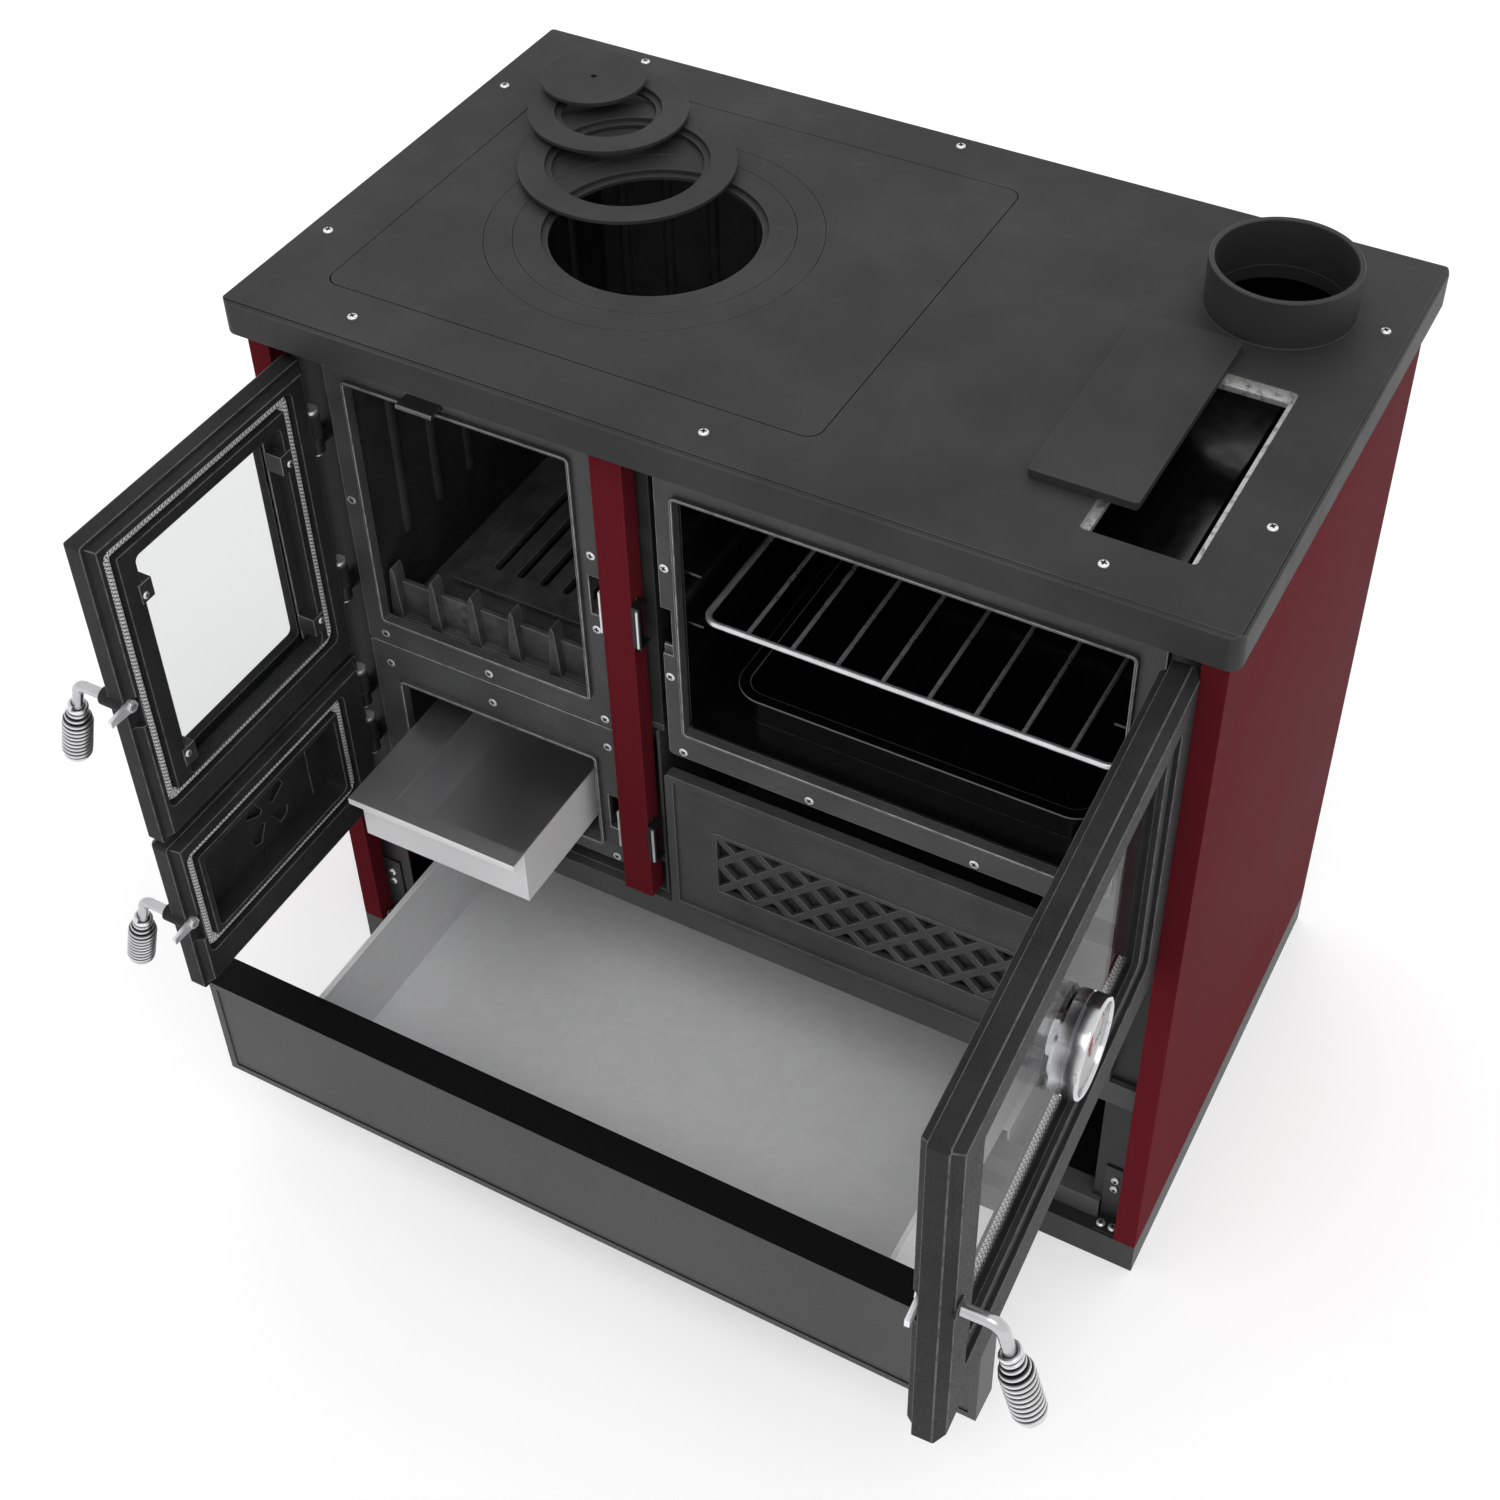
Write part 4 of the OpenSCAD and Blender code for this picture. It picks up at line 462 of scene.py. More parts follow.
def recipes(colours):
    """A finish for each of the record's material slots, and for the pieces that differ from their slot."""
    edge = tuple(colours.bare_edge)
    return {
        "plate_black": lambda n: plate_paint(n, colours.plate, shade(colours.plate, 2.6), shade(edge, 1.3)),
        "cast_black": lambda n: casting_paint(n, shade(colours.castings, 2.4), edge, 0.26, 0.0006, 0.08),
        "clip_black": lambda n: casting_paint(n, shade(colours.castings, 2.0), edge, 0.7, 0.0004),
        "lattice_black": lambda n: casting_paint(n, shade(colours.frames, 0.75), edge, 0.2, 0.0008),
        "cast_grey": lambda n: casting_paint(n, colours.frames, edge, 0.9, 0.0008),
        "sheet_grey": lambda n: satin_paint(n, shade(colours.frames, 1.05), 0.5),
        "enamel_red": lambda n: side_enamel(n, colours.enamel),
        "plinth_black": lambda n: satin_paint(n, shade(colours.castings, 1.2), 0.42),
        # Near-black paint: on the catch blocks it is their own colour, on the hinge plates it is painted
        # shade between frame and door
        "hinge_black": lambda n: satin_paint(n, shade(colours.castings, 0.5), 0.42),
        "firebox_iron": lambda n: raw_iron(n, colours.soot),
        # A darker copy of the firebox iron: painted shade on the linings under the top plate
        "lining_iron": lambda n: raw_iron(n, shade(colours.soot, 0.3)),
        "oven_enamel": lambda n: gloss_enamel(n, colours.oven),
        # The tray's rim gets a painted highlight
        "tray_enamel": lambda n: gloss_enamel(n, colours.tray, 0.35),
        "zinc_sheet": lambda n: galvanised(n, colours.zinc, 0.1, 0.42),
        "pan_sheet": lambda n: bright_sheet(n, colours.pan, 0.33),
        "chrome_wire": lambda n: bright_plating(n, shade(colours.plating, 1.45), 0.2),
        "rod_metal": lambda n: bright_plating(n, shade(colours.plating, 0.92), 0.16, 1.0, 0.6),
        "rack_wire": lambda n: bright_plating(n, shade(colours.plating, 1.3), 0.25, 0.75),
        "case_metal": lambda n: bright_plating(n, shade(colours.plating, 1.1), 0.15, 1.0, 0.1),
        "tab_metal": lambda n: galvanised(n, shade(colours.plating, 0.3), 0.9, 0.3),
        "screw_steel": lambda n: bright_plating(n, shade(colours.plating, 1.5), 0.3, 0.75),
        "door_glass": lambda n: clear_glass(n, colours.glass),
        "rope_seal": lambda n: rope_braid(n, colours.rope),
        "dial_white": lambda n: printed_dial(n, colours.dial),
        "pointer_red": lambda n: printed_dial(n, colours.pointer),
        "dial_print": lambda n: printed_dial(n, colours.ink),
        "drawer_paint": lambda n: satin_paint(n, colours.drawer, 0.45),
    }


def finish_for(slot):
    made = bpy.data.materials.get("finish_" + slot)
    if made is None:
        made = recipes(bpy.context.scene.stove_finishes)[slot]("finish_" + slot)
    return made


# Pieces

def make_piece(name, shape, body, slot, replaced=(), smooth_angle=32.0, finish=None):
    """Turns a bmesh into an object at the origin, with its finish, on the body that carries it."""
    limit = math.radians(smooth_angle)
    for face in shape.faces:
        face.smooth = True
    for edge in shape.edges:
        edge.smooth = len(edge.link_faces) == 2 and edge.calc_face_angle() < limit
    mesh = bpy.data.meshes.new(name)
    shape.to_mesh(mesh)
    shape.free()
    if "custom_normal" in mesh.attributes:
        mesh.attributes.remove(mesh.attributes["custom_normal"])
    mesh.materials.clear()
    mesh.materials.append(finish_for(finish or slot))
    for polygon in mesh.polygons:
        polygon.material_index = 0
    obj = bpy.data.objects.new(name, mesh)
    bpy.context.scene.collection.objects.link(obj)
    even = obj.modifiers.new("even_normals", "WEIGHTED_NORMAL")
    even.keep_sharp = True
    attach(obj, body)
    if replaced:
        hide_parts(*replaced)
    return obj


def merged_copy(node):
    """The CAD node's mesh as one closed surface, with its flat faces split into convex ones."""
    shape = bmesh.new()
    shape.from_mesh(frame["nodes"][node].data)
    bmesh.ops.remove_doubles(shape, verts=shape.verts, dist=2e-6)
    plain, area = shape.copy(), filled_area(shape)
    bmesh.ops.dissolve_limit(shape, angle_limit=math.radians(0.3), verts=shape.verts, edges=shape.edges,
                             use_dissolve_boundaries=False, delimit=set())
    bmesh.ops.connect_verts_concave(shape, faces=shape.faces)
    if filled_area(shape) > area * AREA_SLACK:
        shape, plain = plain, shape
    plain.free()
    return shape


def filled_area(shape):
    """Area of all triangles as they are drawn: a face that is filled wrongly adds to it."""
    return sum((b.vert.co - a.vert.co).cross(c.vert.co - a.vert.co).length / 2
               for a, b, c in shape.calc_loop_triangles())


def round_edges(shape, radius, sharp=38.0, segments=2):
    """Bevels the outward edges, marks the new faces for edge wear and painted highlight, and puts stray
    points back on the solid.
    """
    edge_wear_and_highlight = shape.faces.layers.float.new("edge_wear_and_highlight")
    solid = BVHTree.FromBMesh(shape)
    limit = math.radians(sharp)
    edges = [e for e in shape.edges if e.is_manifold and e.is_convex and e.calc_face_angle() > limit]
    made = bmesh.ops.bevel(shape, geom=edges, offset=radius, offset_type="OFFSET", segments=segments,
                           profile=0.5, affect="EDGES", clamp_overlap=False, loop_slide=False, material=-1)
    for face in made["faces"]:
        face[edge_wear_and_highlight] = 1.0
    for vert in shape.verts:
        near, normal, _, gap = solid.find_nearest(vert.co)
        if gap > (STRAY_OUT if (vert.co - near).dot(normal) > 0 else STRAY_IN * radius):
            vert.co = near
    return shape


def worked(node, radius, segments=2, sharp=38.0, finish=None, picked_faces=None):
    """Stands for a CAD node: its form with rounded edges and its finish, with the faces that a test picks
    marked.
    """
    shape = merged_copy(node)
    if radius:
        round_edges(shape, radius, sharp, segments)
    if picked_faces:
        mark = shape.faces.layers.float.new("picked_faces")
        for face in shape.faces:
            face[mark] = float(picked_faces(face))
    return make_piece(node + "_worked", shape, BODY_OF[node], SLOT_OF[node], [node], finish=finish)


def in_box(low, high):
    """Picks the faces in a box."""
    return lambda face: all(low[i] < face.calc_center_median()[i] < high[i] for i in range(3))


def outer_walls(node):
    """Picks the upright faces of a tray that point away from its middle."""
    low, high = node_box(node)
    middle = (low + high) / 2

    def looks_out(face):
        return abs(face.normal.z) < WALL and face.normal.xy.dot((face.calc_center_median() - middle).xy) > 0

    return looks_out


def islands(shape):
    """Sets of the vertices that hang together."""
    left = set(shape.verts)
    found = []
    while left:
        island, queue = set(), [left.pop()]
        while queue:
            vert = queue.pop()
            island.add(vert)
            fresh = left.intersection(edge.other_vert(vert) for edge in vert.link_edges)
            left.difference_update(fresh)
            queue.extend(fresh)
        found.append(island)
    return sorted(found, key=lambda island: sorted(tuple(v.co) for v in island)[0])


def box_round(points):
    """Lowest and highest corner of the box round some points."""
    return tuple(Vector(pick(point[i] for point in points) for i in range(3)) for pick in (min, max))


def box_of(verts):
    return box_round([vert.co for vert in verts])


def node_box(node):
    return box_of(frame["nodes"][node].data.vertices)


def opened(door):
    """The turn that takes a shut door's piece to where the door stands open."""
    x, y = HINGE_AT[door]
    to_axis = Matrix.Translation((x, y, 0.0))
    return to_axis @ rotation(OPEN_ANGLE[door], "Z") @ to_axis.inverted()


def shut_box(door, node):
    """Lowest and highest corner of a door's CAD node with the door shut."""
    back = opened(door).inverted()
    return box_round([back @ vert.co for vert in frame["nodes"][node].data.vertices])


def rotation(degrees, axis):
    return Matrix.Rotation(math.radians(degrees), 4, axis)


def turn_shape(shape, matrix):
    bmesh.ops.transform(shape, matrix=matrix, verts=shape.verts)
    return shape


def lathe(shape, points, axis_at, axis, steps):
    """Spins a profile, given as points in order, into a closed turned form."""
    verts = [shape.verts.new(p) for p in points]
    edges = [shape.edges.new(pair) for pair in zip(verts, verts[1:])]
    bmesh.ops.spin(shape, geom=verts + edges, cent=axis_at, axis=axis, angle=2 * math.pi, steps=steps,
                   use_merge=True, use_duplicate=False)
    bmesh.ops.remove_doubles(shape, verts=shape.verts, dist=1e-6)
    bmesh.ops.recalc_face_normals(shape, faces=shape.faces)


class StoveOperator:
    bl_options = {"REGISTER", "UNDO"}


class COOKSTOVE_OT_stage(StoveOperator, bpy.types.Operator):
    """Make the camera, the pale floor and the soft light."""
    bl_idname = "cookstove.stage"
    bl_label = "Studio"

    floor_half = 9.0
    floor_greys = ((0.82, 0.82, 0.82), (0.84, 0.84, 0.84))
    floor_rough = 0.7
    floor_glow = 0.3
    lamp_size = math.radians(38.0)
    lamp_from = (0.3, -0.5, 1.0)

    def execute(self, context):
        settings = context.scene.stove_stage
        camera = bpy.data.cameras.new("camera")
        camera.lens = settings.lens
        camera.sensor_width = 36.0
        camera.shift_x, camera.shift_y = settings.shift
        camera.clip_start, camera.clip_end = 0.05, 40.0
        eye = bpy.data.objects.new("camera", camera)
        context.scene.collection.objects.link(eye)
        yaw, pitch, roll = settings.yaw, settings.pitch, settings.roll
        back = Vector((math.sin(yaw) * math.cos(pitch), -math.cos(yaw) * math.cos(pitch), math.sin(pitch)))
        right = Vector((math.cos(yaw), math.sin(yaw), 0.0))
        up = back.cross(right)
        rolled = right * math.cos(roll) + up * math.sin(roll)
        turn = Matrix((rolled, up * math.cos(roll) - right * math.sin(roll), back)).transposed().to_4x4()
        eye.matrix_world = Matrix.Translation(settings.place) @ turn
        context.scene.camera = eye
        context.scene.view_settings.view_transform = "Standard"
        self.make_floor(context)
        self.make_light(context, settings)
        return {"FINISHED"}

    def make_floor(self, context):
        """Paper that takes the stove's shadow, and looks a little paler than it lights the stove."""
        shape = bmesh.new()
        bmesh.ops.create_grid(shape, x_segments=2, y_segments=2, size=self.floor_half)
        mesh = bpy.data.meshes.new("floor")
        shape.to_mesh(mesh)
        shape.free()
        floor = bpy.data.objects.new("floor", mesh)
        context.scene.collection.objects.link(floor)
        finish = Finish("floor_paper", specular_ior_level=0.1)
        tone = finish.mix(finish.noise(1.3, 2.0).between(0.3, 0.7), *self.floor_greys)
        seen = {"Base Color": tone, "Roughness": self.floor_rough,
                "Emission Color": (1.0, 1.0, 1.0), "Emission Strength": self.floor_glow}
        paler = finish.add("ShaderNodeBsdfPrincipled", None, seen, "BSDF")
        plain = Signal(finish, finish.surface.outputs["BSDF"])
        mesh.materials.append(finish.set(base_color=tone, roughness=self.floor_rough))
        both = finish.blend(finish.looked_at(), plain, paler)
        finish.join(finish.tree.nodes["Material Output"].inputs["Surface"], both)

    def make_light(self, context, settings):
        """Even light from all round, a soft lamp above, and plain white past the floor."""
        world = bpy.data.worlds.new("studio")
        context.scene.world = world
        world.use_nodes = True
        sky = NodeBench(world.node_tree)
        dim, white = (sky.add("ShaderNodeBackground", None, {"Color": (1.0, 1.0, 1.0), "Strength": level})
                      for level in (settings.sky, 1.0))
        shown = sky.blend(sky.looked_at(), dim, white)
        sky.join(world.node_tree.nodes["World Output"].inputs["Surface"], shown)
        lamp = bpy.data.lights.new("key", "SUN")
        lamp.energy = settings.key
        lamp.angle = self.lamp_size
        key = bpy.data.objects.new("key", lamp)
        key.matrix_world = Vector(self.lamp_from).to_track_quat("Z", "Y").to_matrix().to_4x4()
        context.scene.collection.objects.link(key)


class COOKSTOVE_OT_carcass(StoveOperator, bpy.types.Operator):
    """Work the plinth, the enamelled panels and posts, the rails and the plates behind the hinges."""
    bl_idname = "cookstove.carcass"
    bl_label = "Carcass"

    def execute(self, context):
        edge = context.scene.stove_details.sheet_edge
        for node in ("left_side_panel", "right_side_panel", "centre_post", "plinth", "back_panel",
                     "corner_brackets", "front_rails", "shelf_sheet", "drawer_runners"):
            worked(node, edge)
        # The hinge plates get near-black paint as painted shade between frame and door
        worked("hinge_plates", edge, finish="hinge_black")
        return {"FINISHED"}


class COOKSTOVE_OT_fronts(StoveOperator, bpy.types.Operator):
    """Work the cast frames and the lattice panel."""
    bl_idname = "cookstove.fronts"
    bl_label = "Cast fronts"

    # Shares of the casting edge's radius
    frame_edge, lattice_edge = 0.8, 0.6
    # The sheet behind the lattice: how far in it starts, its distance, thickness and corner radius
    border = Vector((42.0, 0.0, 34.0)) * MM
    gap = 0.5 * MM
    thick = 1.0 * MM
    corner = 8.0 * MM

    def execute(self, context):
        edge = context.scene.stove_details.cast_edge
        for node in ("fire_frame", "ash_frame", "oven_frame"):
            worked(node, edge * self.frame_edge)
        worked("lattice_panel", edge * self.lattice_edge, finish="lattice_black")
        self.back_lattice()
        return {"FINISHED"}

    def back_lattice(self):
        """Dark sheet close behind the lattice, which stops the view into the space under the oven."""
        node = "lattice_panel"
        low, high = node_box(node)
        size = high - low - self.border * 2
        middle = (low + high) / 2
        middle.y = high.y + self.gap + self.thick / 2
        place = Matrix.Translation(middle) @ Matrix.Diagonal((size.x, self.thick, size.z, 1.0))
        shape = bmesh.new()
        bmesh.ops.create_cube(shape, size=1.0, matrix=place)
        across = [e for e in shape.edges if abs(e.verts[0].co.y - e.verts[1].co.y) > self.thick / 2]
        bmesh.ops.bevel(shape, geom=across, offset=self.corner, offset_type="OFFSET", segments=4, profile=0.5,
                        affect="EDGES", material=-1)
        make_piece("lattice_backing", shape, BODY_OF[node], SLOT_OF[node], finish="lattice_black")


class COOKSTOVE_OT_firebox(StoveOperator, bpy.types.Operator):
    """Work the firebox linings, hearth, grate, log guard, ash pit and draught slide."""
    bl_idname = "cookstove.firebox"
    bl_label = "Firebox and ash pit"

    # Shares of the casting edge's and the sheet edge's radius
    cast_share, sheet_share = 0.7, 0.8

    def execute(self, context):
        details = context.scene.stove_details
        for node in ("hearth_plate", "grate", "log_guard"):
            worked(node, details.cast_edge * self.cast_share)
        # The linings take a darker copy of the firebox iron as painted shade
        worked("firebox_linings", details.cast_edge * self.cast_share, finish="lining_iron")
        worked("ash_chamber", details.sheet_edge * self.sheet_share)
        worked("draft_slide", details.sheet_edge * self.sheet_share, finish="tab_metal")
        return {"FINISHED"}


class COOKSTOVE_OT_cooktop(StoveOperator, bpy.types.Operator):
    """Work the top plate, hotplate, rings, flue collar and soot cover."""
    bl_idname = "cookstove.cooktop"
    bl_label = "Cooktop"

    # Shares of the ring edge's radius
    ring_share, collar_share = 0.7, 0.6
    # Two corners of the box that holds the unpainted ledge in the soot opening
    bare_ledge = ((0.306, -0.205, 0.83), (0.402, 0.032, 0.8592))

    def execute(self, context):
        edge = context.scene.stove_details.ring_edge
        worked("top_plate", edge, picked_faces=in_box(*self.bare_ledge))
        for node in ("hotplate", "outer_ring", "middle_ring", "big_ring", "small_ring", "centre_disc",
                     "soot_lid"):
            worked(node, edge * self.ring_share)
        worked("flue_collar", edge * self.collar_share)
        return {"FINISHED"}


class COOKSTOVE_OT_doors(StoveOperator, bpy.types.Operator):
    """Work the door castings, their glass, the glass clips and the air disc."""
    bl_idname = "cookstove.doors"
    bl_label = "Doors"

    # Share of the casting edge's radius
    cast_share = 0.7

    def execute(self, context):
        details = context.scene.stove_details
        for node in ("fire_door_frame", "ash_door_frame", "oven_door_frame"):
            worked(node, details.cast_edge * self.cast_share)
        for node in ("fire_glass", "oven_glass", "air_disc"):
            worked(node, details.sheet_edge)
        worked("fire_glass_clips", details.sheet_edge, finish="clip_black")
        return {"FINISHED"}


class COOKSTOVE_OT_seals(StoveOperator, bpy.types.Operator):
    """Lay a braided rope in each door's groove."""
    bl_idname = "cookstove.seals"
    bl_label = "Rope seals"

    # Width of the rope's section, and radius of its middle line at the corners
    width = 12.2 * MM
    corner = 7.5 * MM
    corner_steps = 8
    # Strands round the rope, and how much of its width counts when they are laid round its flat section
    strands = 6
    flatness = 0.6

    def execute(self, context):
        for door in ("fire", "ash", "oven"):
            self.lay_rope(context.scene.stove_details, door)
        return {"FINISHED"}

    def lay_rope(self, details, door):
        node = door + "_gasket"
        low, high = shut_box(door, node)
        width, depth, corner = self.width, high.y - low.y, self.corner
        middle = (low + high) / 2
        half = Vector((high.x - low.x - width, 0.0, high.z - low.z - width)) / 2
        shape = bmesh.new()
        bmesh.ops.create_circle(shape, cap_ends=False, segments=details.rope_sides, radius=0.5)
        turn_shape(shape, rotation(90.0, "Y"))
        turn_shape(shape, Matrix.Diagonal((1.0, depth, width, 1.0)))
        start = Vector((middle.x - half.x + corner, middle.y, middle.z - half.z))
        bmesh.ops.translate(shape, verts=shape.verts, vec=start)
        ring = list(shape.verts) + list(shape.edges)
        runs = [(half.x, (1, 0, 0)), (half.z, (0, 0, 1)), (half.x, (-1, 0, 0)), (half.z, (0, 0, -1))]
        at = start.copy()
        for run, way in runs:
            way = Vector(way)
            straight = way * (2 * run - 2 * corner)
            ring = self.extend(shape, ring, straight)
            at = at + straight
            inward = Vector((0, 1, 0)).cross(way) * -1.0
            centre = at + inward * corner
            made = bmesh.ops.spin(shape, geom=ring, cent=centre, axis=(0.0, -1.0, 0.0),
                                  angle=math.radians(90.0), steps=self.corner_steps)
            ring = made["geom_last"]
            at = centre + way * corner
        bmesh.ops.remove_doubles(shape, verts=shape.verts, dist=1e-5)
        bmesh.ops.recalc_face_normals(shape, faces=shape.faces)
        self.wrap_braid(shape, middle, half, details)
        turn_shape(shape, opened(door))
        make_piece(node + "_rope", shape, BODY_OF[node], SLOT_OF[node], [node], 60.0)

    def extend(self, shape, ring, way):
        """Draws the rope's open end out along a straight side."""
        edges = [part for part in ring if isinstance(part, bmesh.types.BMEdge)]
        made = bmesh.ops.extrude_edge_only(shape, edges=edges)["geom"]
        verts = [part for part in made if isinstance(part, bmesh.types.BMVert)]
        bmesh.ops.translate(shape, verts=verts, vec=way)
        return verts + [part for part in made if isinstance(part, bmesh.types.BMEdge)
                        and all(v in verts for v in part.verts)]

    def wrap_braid(self, shape, middle, half, details):
        """Gives the rope a UV map: along it in crossings, and round it in strands."""
        corner, strands = self.corner, self.strands
        flat = Vector((half.x - corner, 0.0, half.z - corner))
        quarter = corner * math.pi / 2
        total = 4 * (flat.x + flat.z) + 4 * quarter
        turns = round(total / details.braid)

        def along(p):
            """How far along its loop a point of the rope lies, and how far out from its middle line."""
            q = Vector((max(-flat.x, min(flat.x, p.x)), 0.0, max(-flat.z, min(flat.z, p.z))))
            out = Vector((p.x - q.x, 0.0, p.z - q.z))
            if out.length < 1e-7:
                beside = abs(p.x) / half.x > abs(p.z) / half.z
                out = Vector((p.x / half.x, 0.0, 0.0)) if beside else Vector((0.0, 0.0, p.z))
            turn = math.atan2(out.z, out.x) % (2 * math.pi)
            side = int(((turn + math.pi / 4) % (2 * math.pi)) // (math.pi / 2))
            sweep = turn - math.pi / 2 * round(turn / (math.pi / 2))
            runs = (flat.z + q.z, 2 * flat.z + quarter + flat.x - q.x,
                    2 * (flat.z + flat.x) + 2 * quarter + flat.z - q.z,
                    4 * flat.z + 2 * flat.x + 3 * quarter + flat.x + q.x)
            return (runs[side] + sweep * corner) % total, (p - q).length - corner

        uv = shape.loops.layers.uv.new("braid")
        for face in shape.faces:
            found = []
            for loop in face.loops:
                p = loop.vert.co - middle
                run, out = along(Vector((p.x, 0.0, p.z)))
                round_it = math.atan2(p.y, out * self.flatness) / (2 * math.pi)
                found.append([run / total * turns, round_it * strands])
            # Where a face straddles the seam along or round the rope, its low side goes up by a whole round
            for index, span, seam in ((0, turns, turns / 2), (1, strands, 0)):
                values = [pair[index] for pair in found]
                if max(values) - min(values) > span / 2:
                    for pair in found:
                        pair[index] += span if pair[index] < seam else 0
            for loop, pair in zip(face.loops, found):
                loop[uv].uv = pair


class COOKSTOVE_OT_handles(StoveOperator, bpy.types.Operator):
    """Wind the coil grips and work the latch rods and pawls."""
    bl_idname = "cookstove.handles"
    bl_label = "Latch handles"

    wire = 3.8 * MM
    turns = 14
    pitch = 5.25 * MM
    neck = 7.1 * MM
    full = 11.65 * MM
    # In turns: where the coil starts to swell and over how many, and over how many its tip draws in
    swell_from, swell_over = 1.5, 3.2
    tip_over, tip_left = 2.0, 0.2
    taper = 0.05
    # How strong the painted shade on the wire's inner side is, and where along the coil that sets in, in
    # turns
    shade_gain = 1.75
    shade_from, shade_over, shade_least = 0.8, 1.6, 0.25

    # The rod that carries the coil: its radius, its bend's radius, angle and place, and where the coil starts
    rod = 5.0 * MM
    bend = 12.0 * MM
    bend_turn = 74.0
    bend_y = -0.287
    start = 19.0 * MM

    # The pivot's nut: its radius, its turn, its share of the room behind the pawl, and its edge
    nut = 5.6 * MM
    nut_turn = 20.0
    nut_share = 0.96
    nut_edge = 0.35 * MM

    def execute(self, context):
        for door in ("fire", "ash", "oven"):
            worked(door + "_handle", 0.0, finish="rod_metal")
            worked(door + "_pawl", context.scene.stove_details.sheet_edge)
            self.wind(context.scene.stove_details, door)
            self.fit_nut(door)
        return {"FINISHED"}

    def fit_nut(self, door):
        """Thin hexagon nut on the pawl's pivot, with its corners turned down."""
        rod_low, rod_high = shut_box(door, door + "_handle")
        pawl_low, pawl_high = shut_box(door, door + "_pawl")
        thick = rod_high.y - pawl_high.y
        at = Vector(((rod_low.x + rod_high.x) / 2, pawl_high.y + thick / 2, (pawl_low.z + pawl_high.z) / 2))
        place = Matrix.Translation(at) @ rotation(-90.0, "X") @ rotation(self.nut_turn, "Z")
        shape = bmesh.new()
        bmesh.ops.create_cone(shape, cap_ends=True, segments=6, radius1=self.nut, radius2=self.nut,
                              depth=thick * self.nut_share, matrix=place)
        round_edges(shape, self.nut_edge)
        turn_shape(shape, opened(door))
        make_piece(door + "_nut", shape, BODY_OF[door + "_pawl"], SLOT_OF[door + "_pawl"])

    def wind(self, details, door):
        """Winds the wire upright at its full width, draws its ends in, and sets it on the bent rod."""
        node = door + "_grip"
        low, high = shut_box(door, door + "_handle")
        at = Vector(((low.x + high.x) / 2, self.bend_y, high.z - self.rod))
        shape = bmesh.new()
        bmesh.ops.create_circle(shape, cap_ends=True, segments=details.coil_sides, radius=self.wire / 2)
        turn_shape(shape, rotation(90.0, "X"))
        bmesh.ops.translate(shape, verts=shape.verts, vec=(self.full, 0.0, 0.0))
        first = list(shape.faces)
        bmesh.ops.spin(shape, geom=shape.verts[:] + shape.edges[:] + first, cent=(0, 0, 0), axis=(0, 0, 1),
                       dvec=(0.0, 0.0, self.pitch / details.coil_steps), angle=2 * math.pi * self.turns,
                       steps=details.coil_steps * self.turns)
        self.swell(shape)
        bmesh.ops.recalc_face_normals(shape, faces=shape.faces)
        turn = math.radians(self.bend_turn)
        base = at + Vector((0.0, -self.bend * math.sin(turn), self.bend * (math.cos(turn) - 1.0)))
        turn_shape(shape, Matrix.Translation((0.0, 0.0, self.start)))
        turn_shape(shape, opened(door) @ Matrix.Translation(base) @ rotation(90.0 + self.bend_turn, "X"))
        make_piece(node + "_coil", shape, BODY_OF[node], SLOT_OF[node], [node], 60.0)

    def swell(self, shape):
        """Draws the coil in at its neck and at its tip, and marks the wire's inner side for painted shade."""
        def ease(t):
            t = max(0.0, min(1.0, t))
            return t * t * (3 - 2 * t)

        neck, full = self.neck, self.full
        painted_shade = shape.verts.layers.float.new("painted_shade")
        for vert in shape.verts:
            out = Vector((vert.co.x, vert.co.y, 0.0))
            part = math.atan2(out.y, out.x) / (2 * math.pi)
            turn = round(vert.co.z / self.pitch - part) + part
            outward = (out.length - full) / (self.wire / 2)
            # Painted shade on the side of the wire that faces into the coil
            painted_inner_shade = max(0.0, min(1.0, self.shade_gain - self.shade_gain * outward))
            deepening = ease((turn - self.shade_from) / self.shade_over)
            vert[painted_shade] = painted_inner_shade * (self.shade_least + (1.0 - self.shade_least) * deepening)
            share = min(ease((turn - self.swell_from) / self.swell_over),
                        ease((self.turns - turn) / self.tip_over + self.tip_left))
            share *= 1 - self.taper * turn / self.turns
            vert.co += out.normalized() * (neck + (full - neck) * share - full)


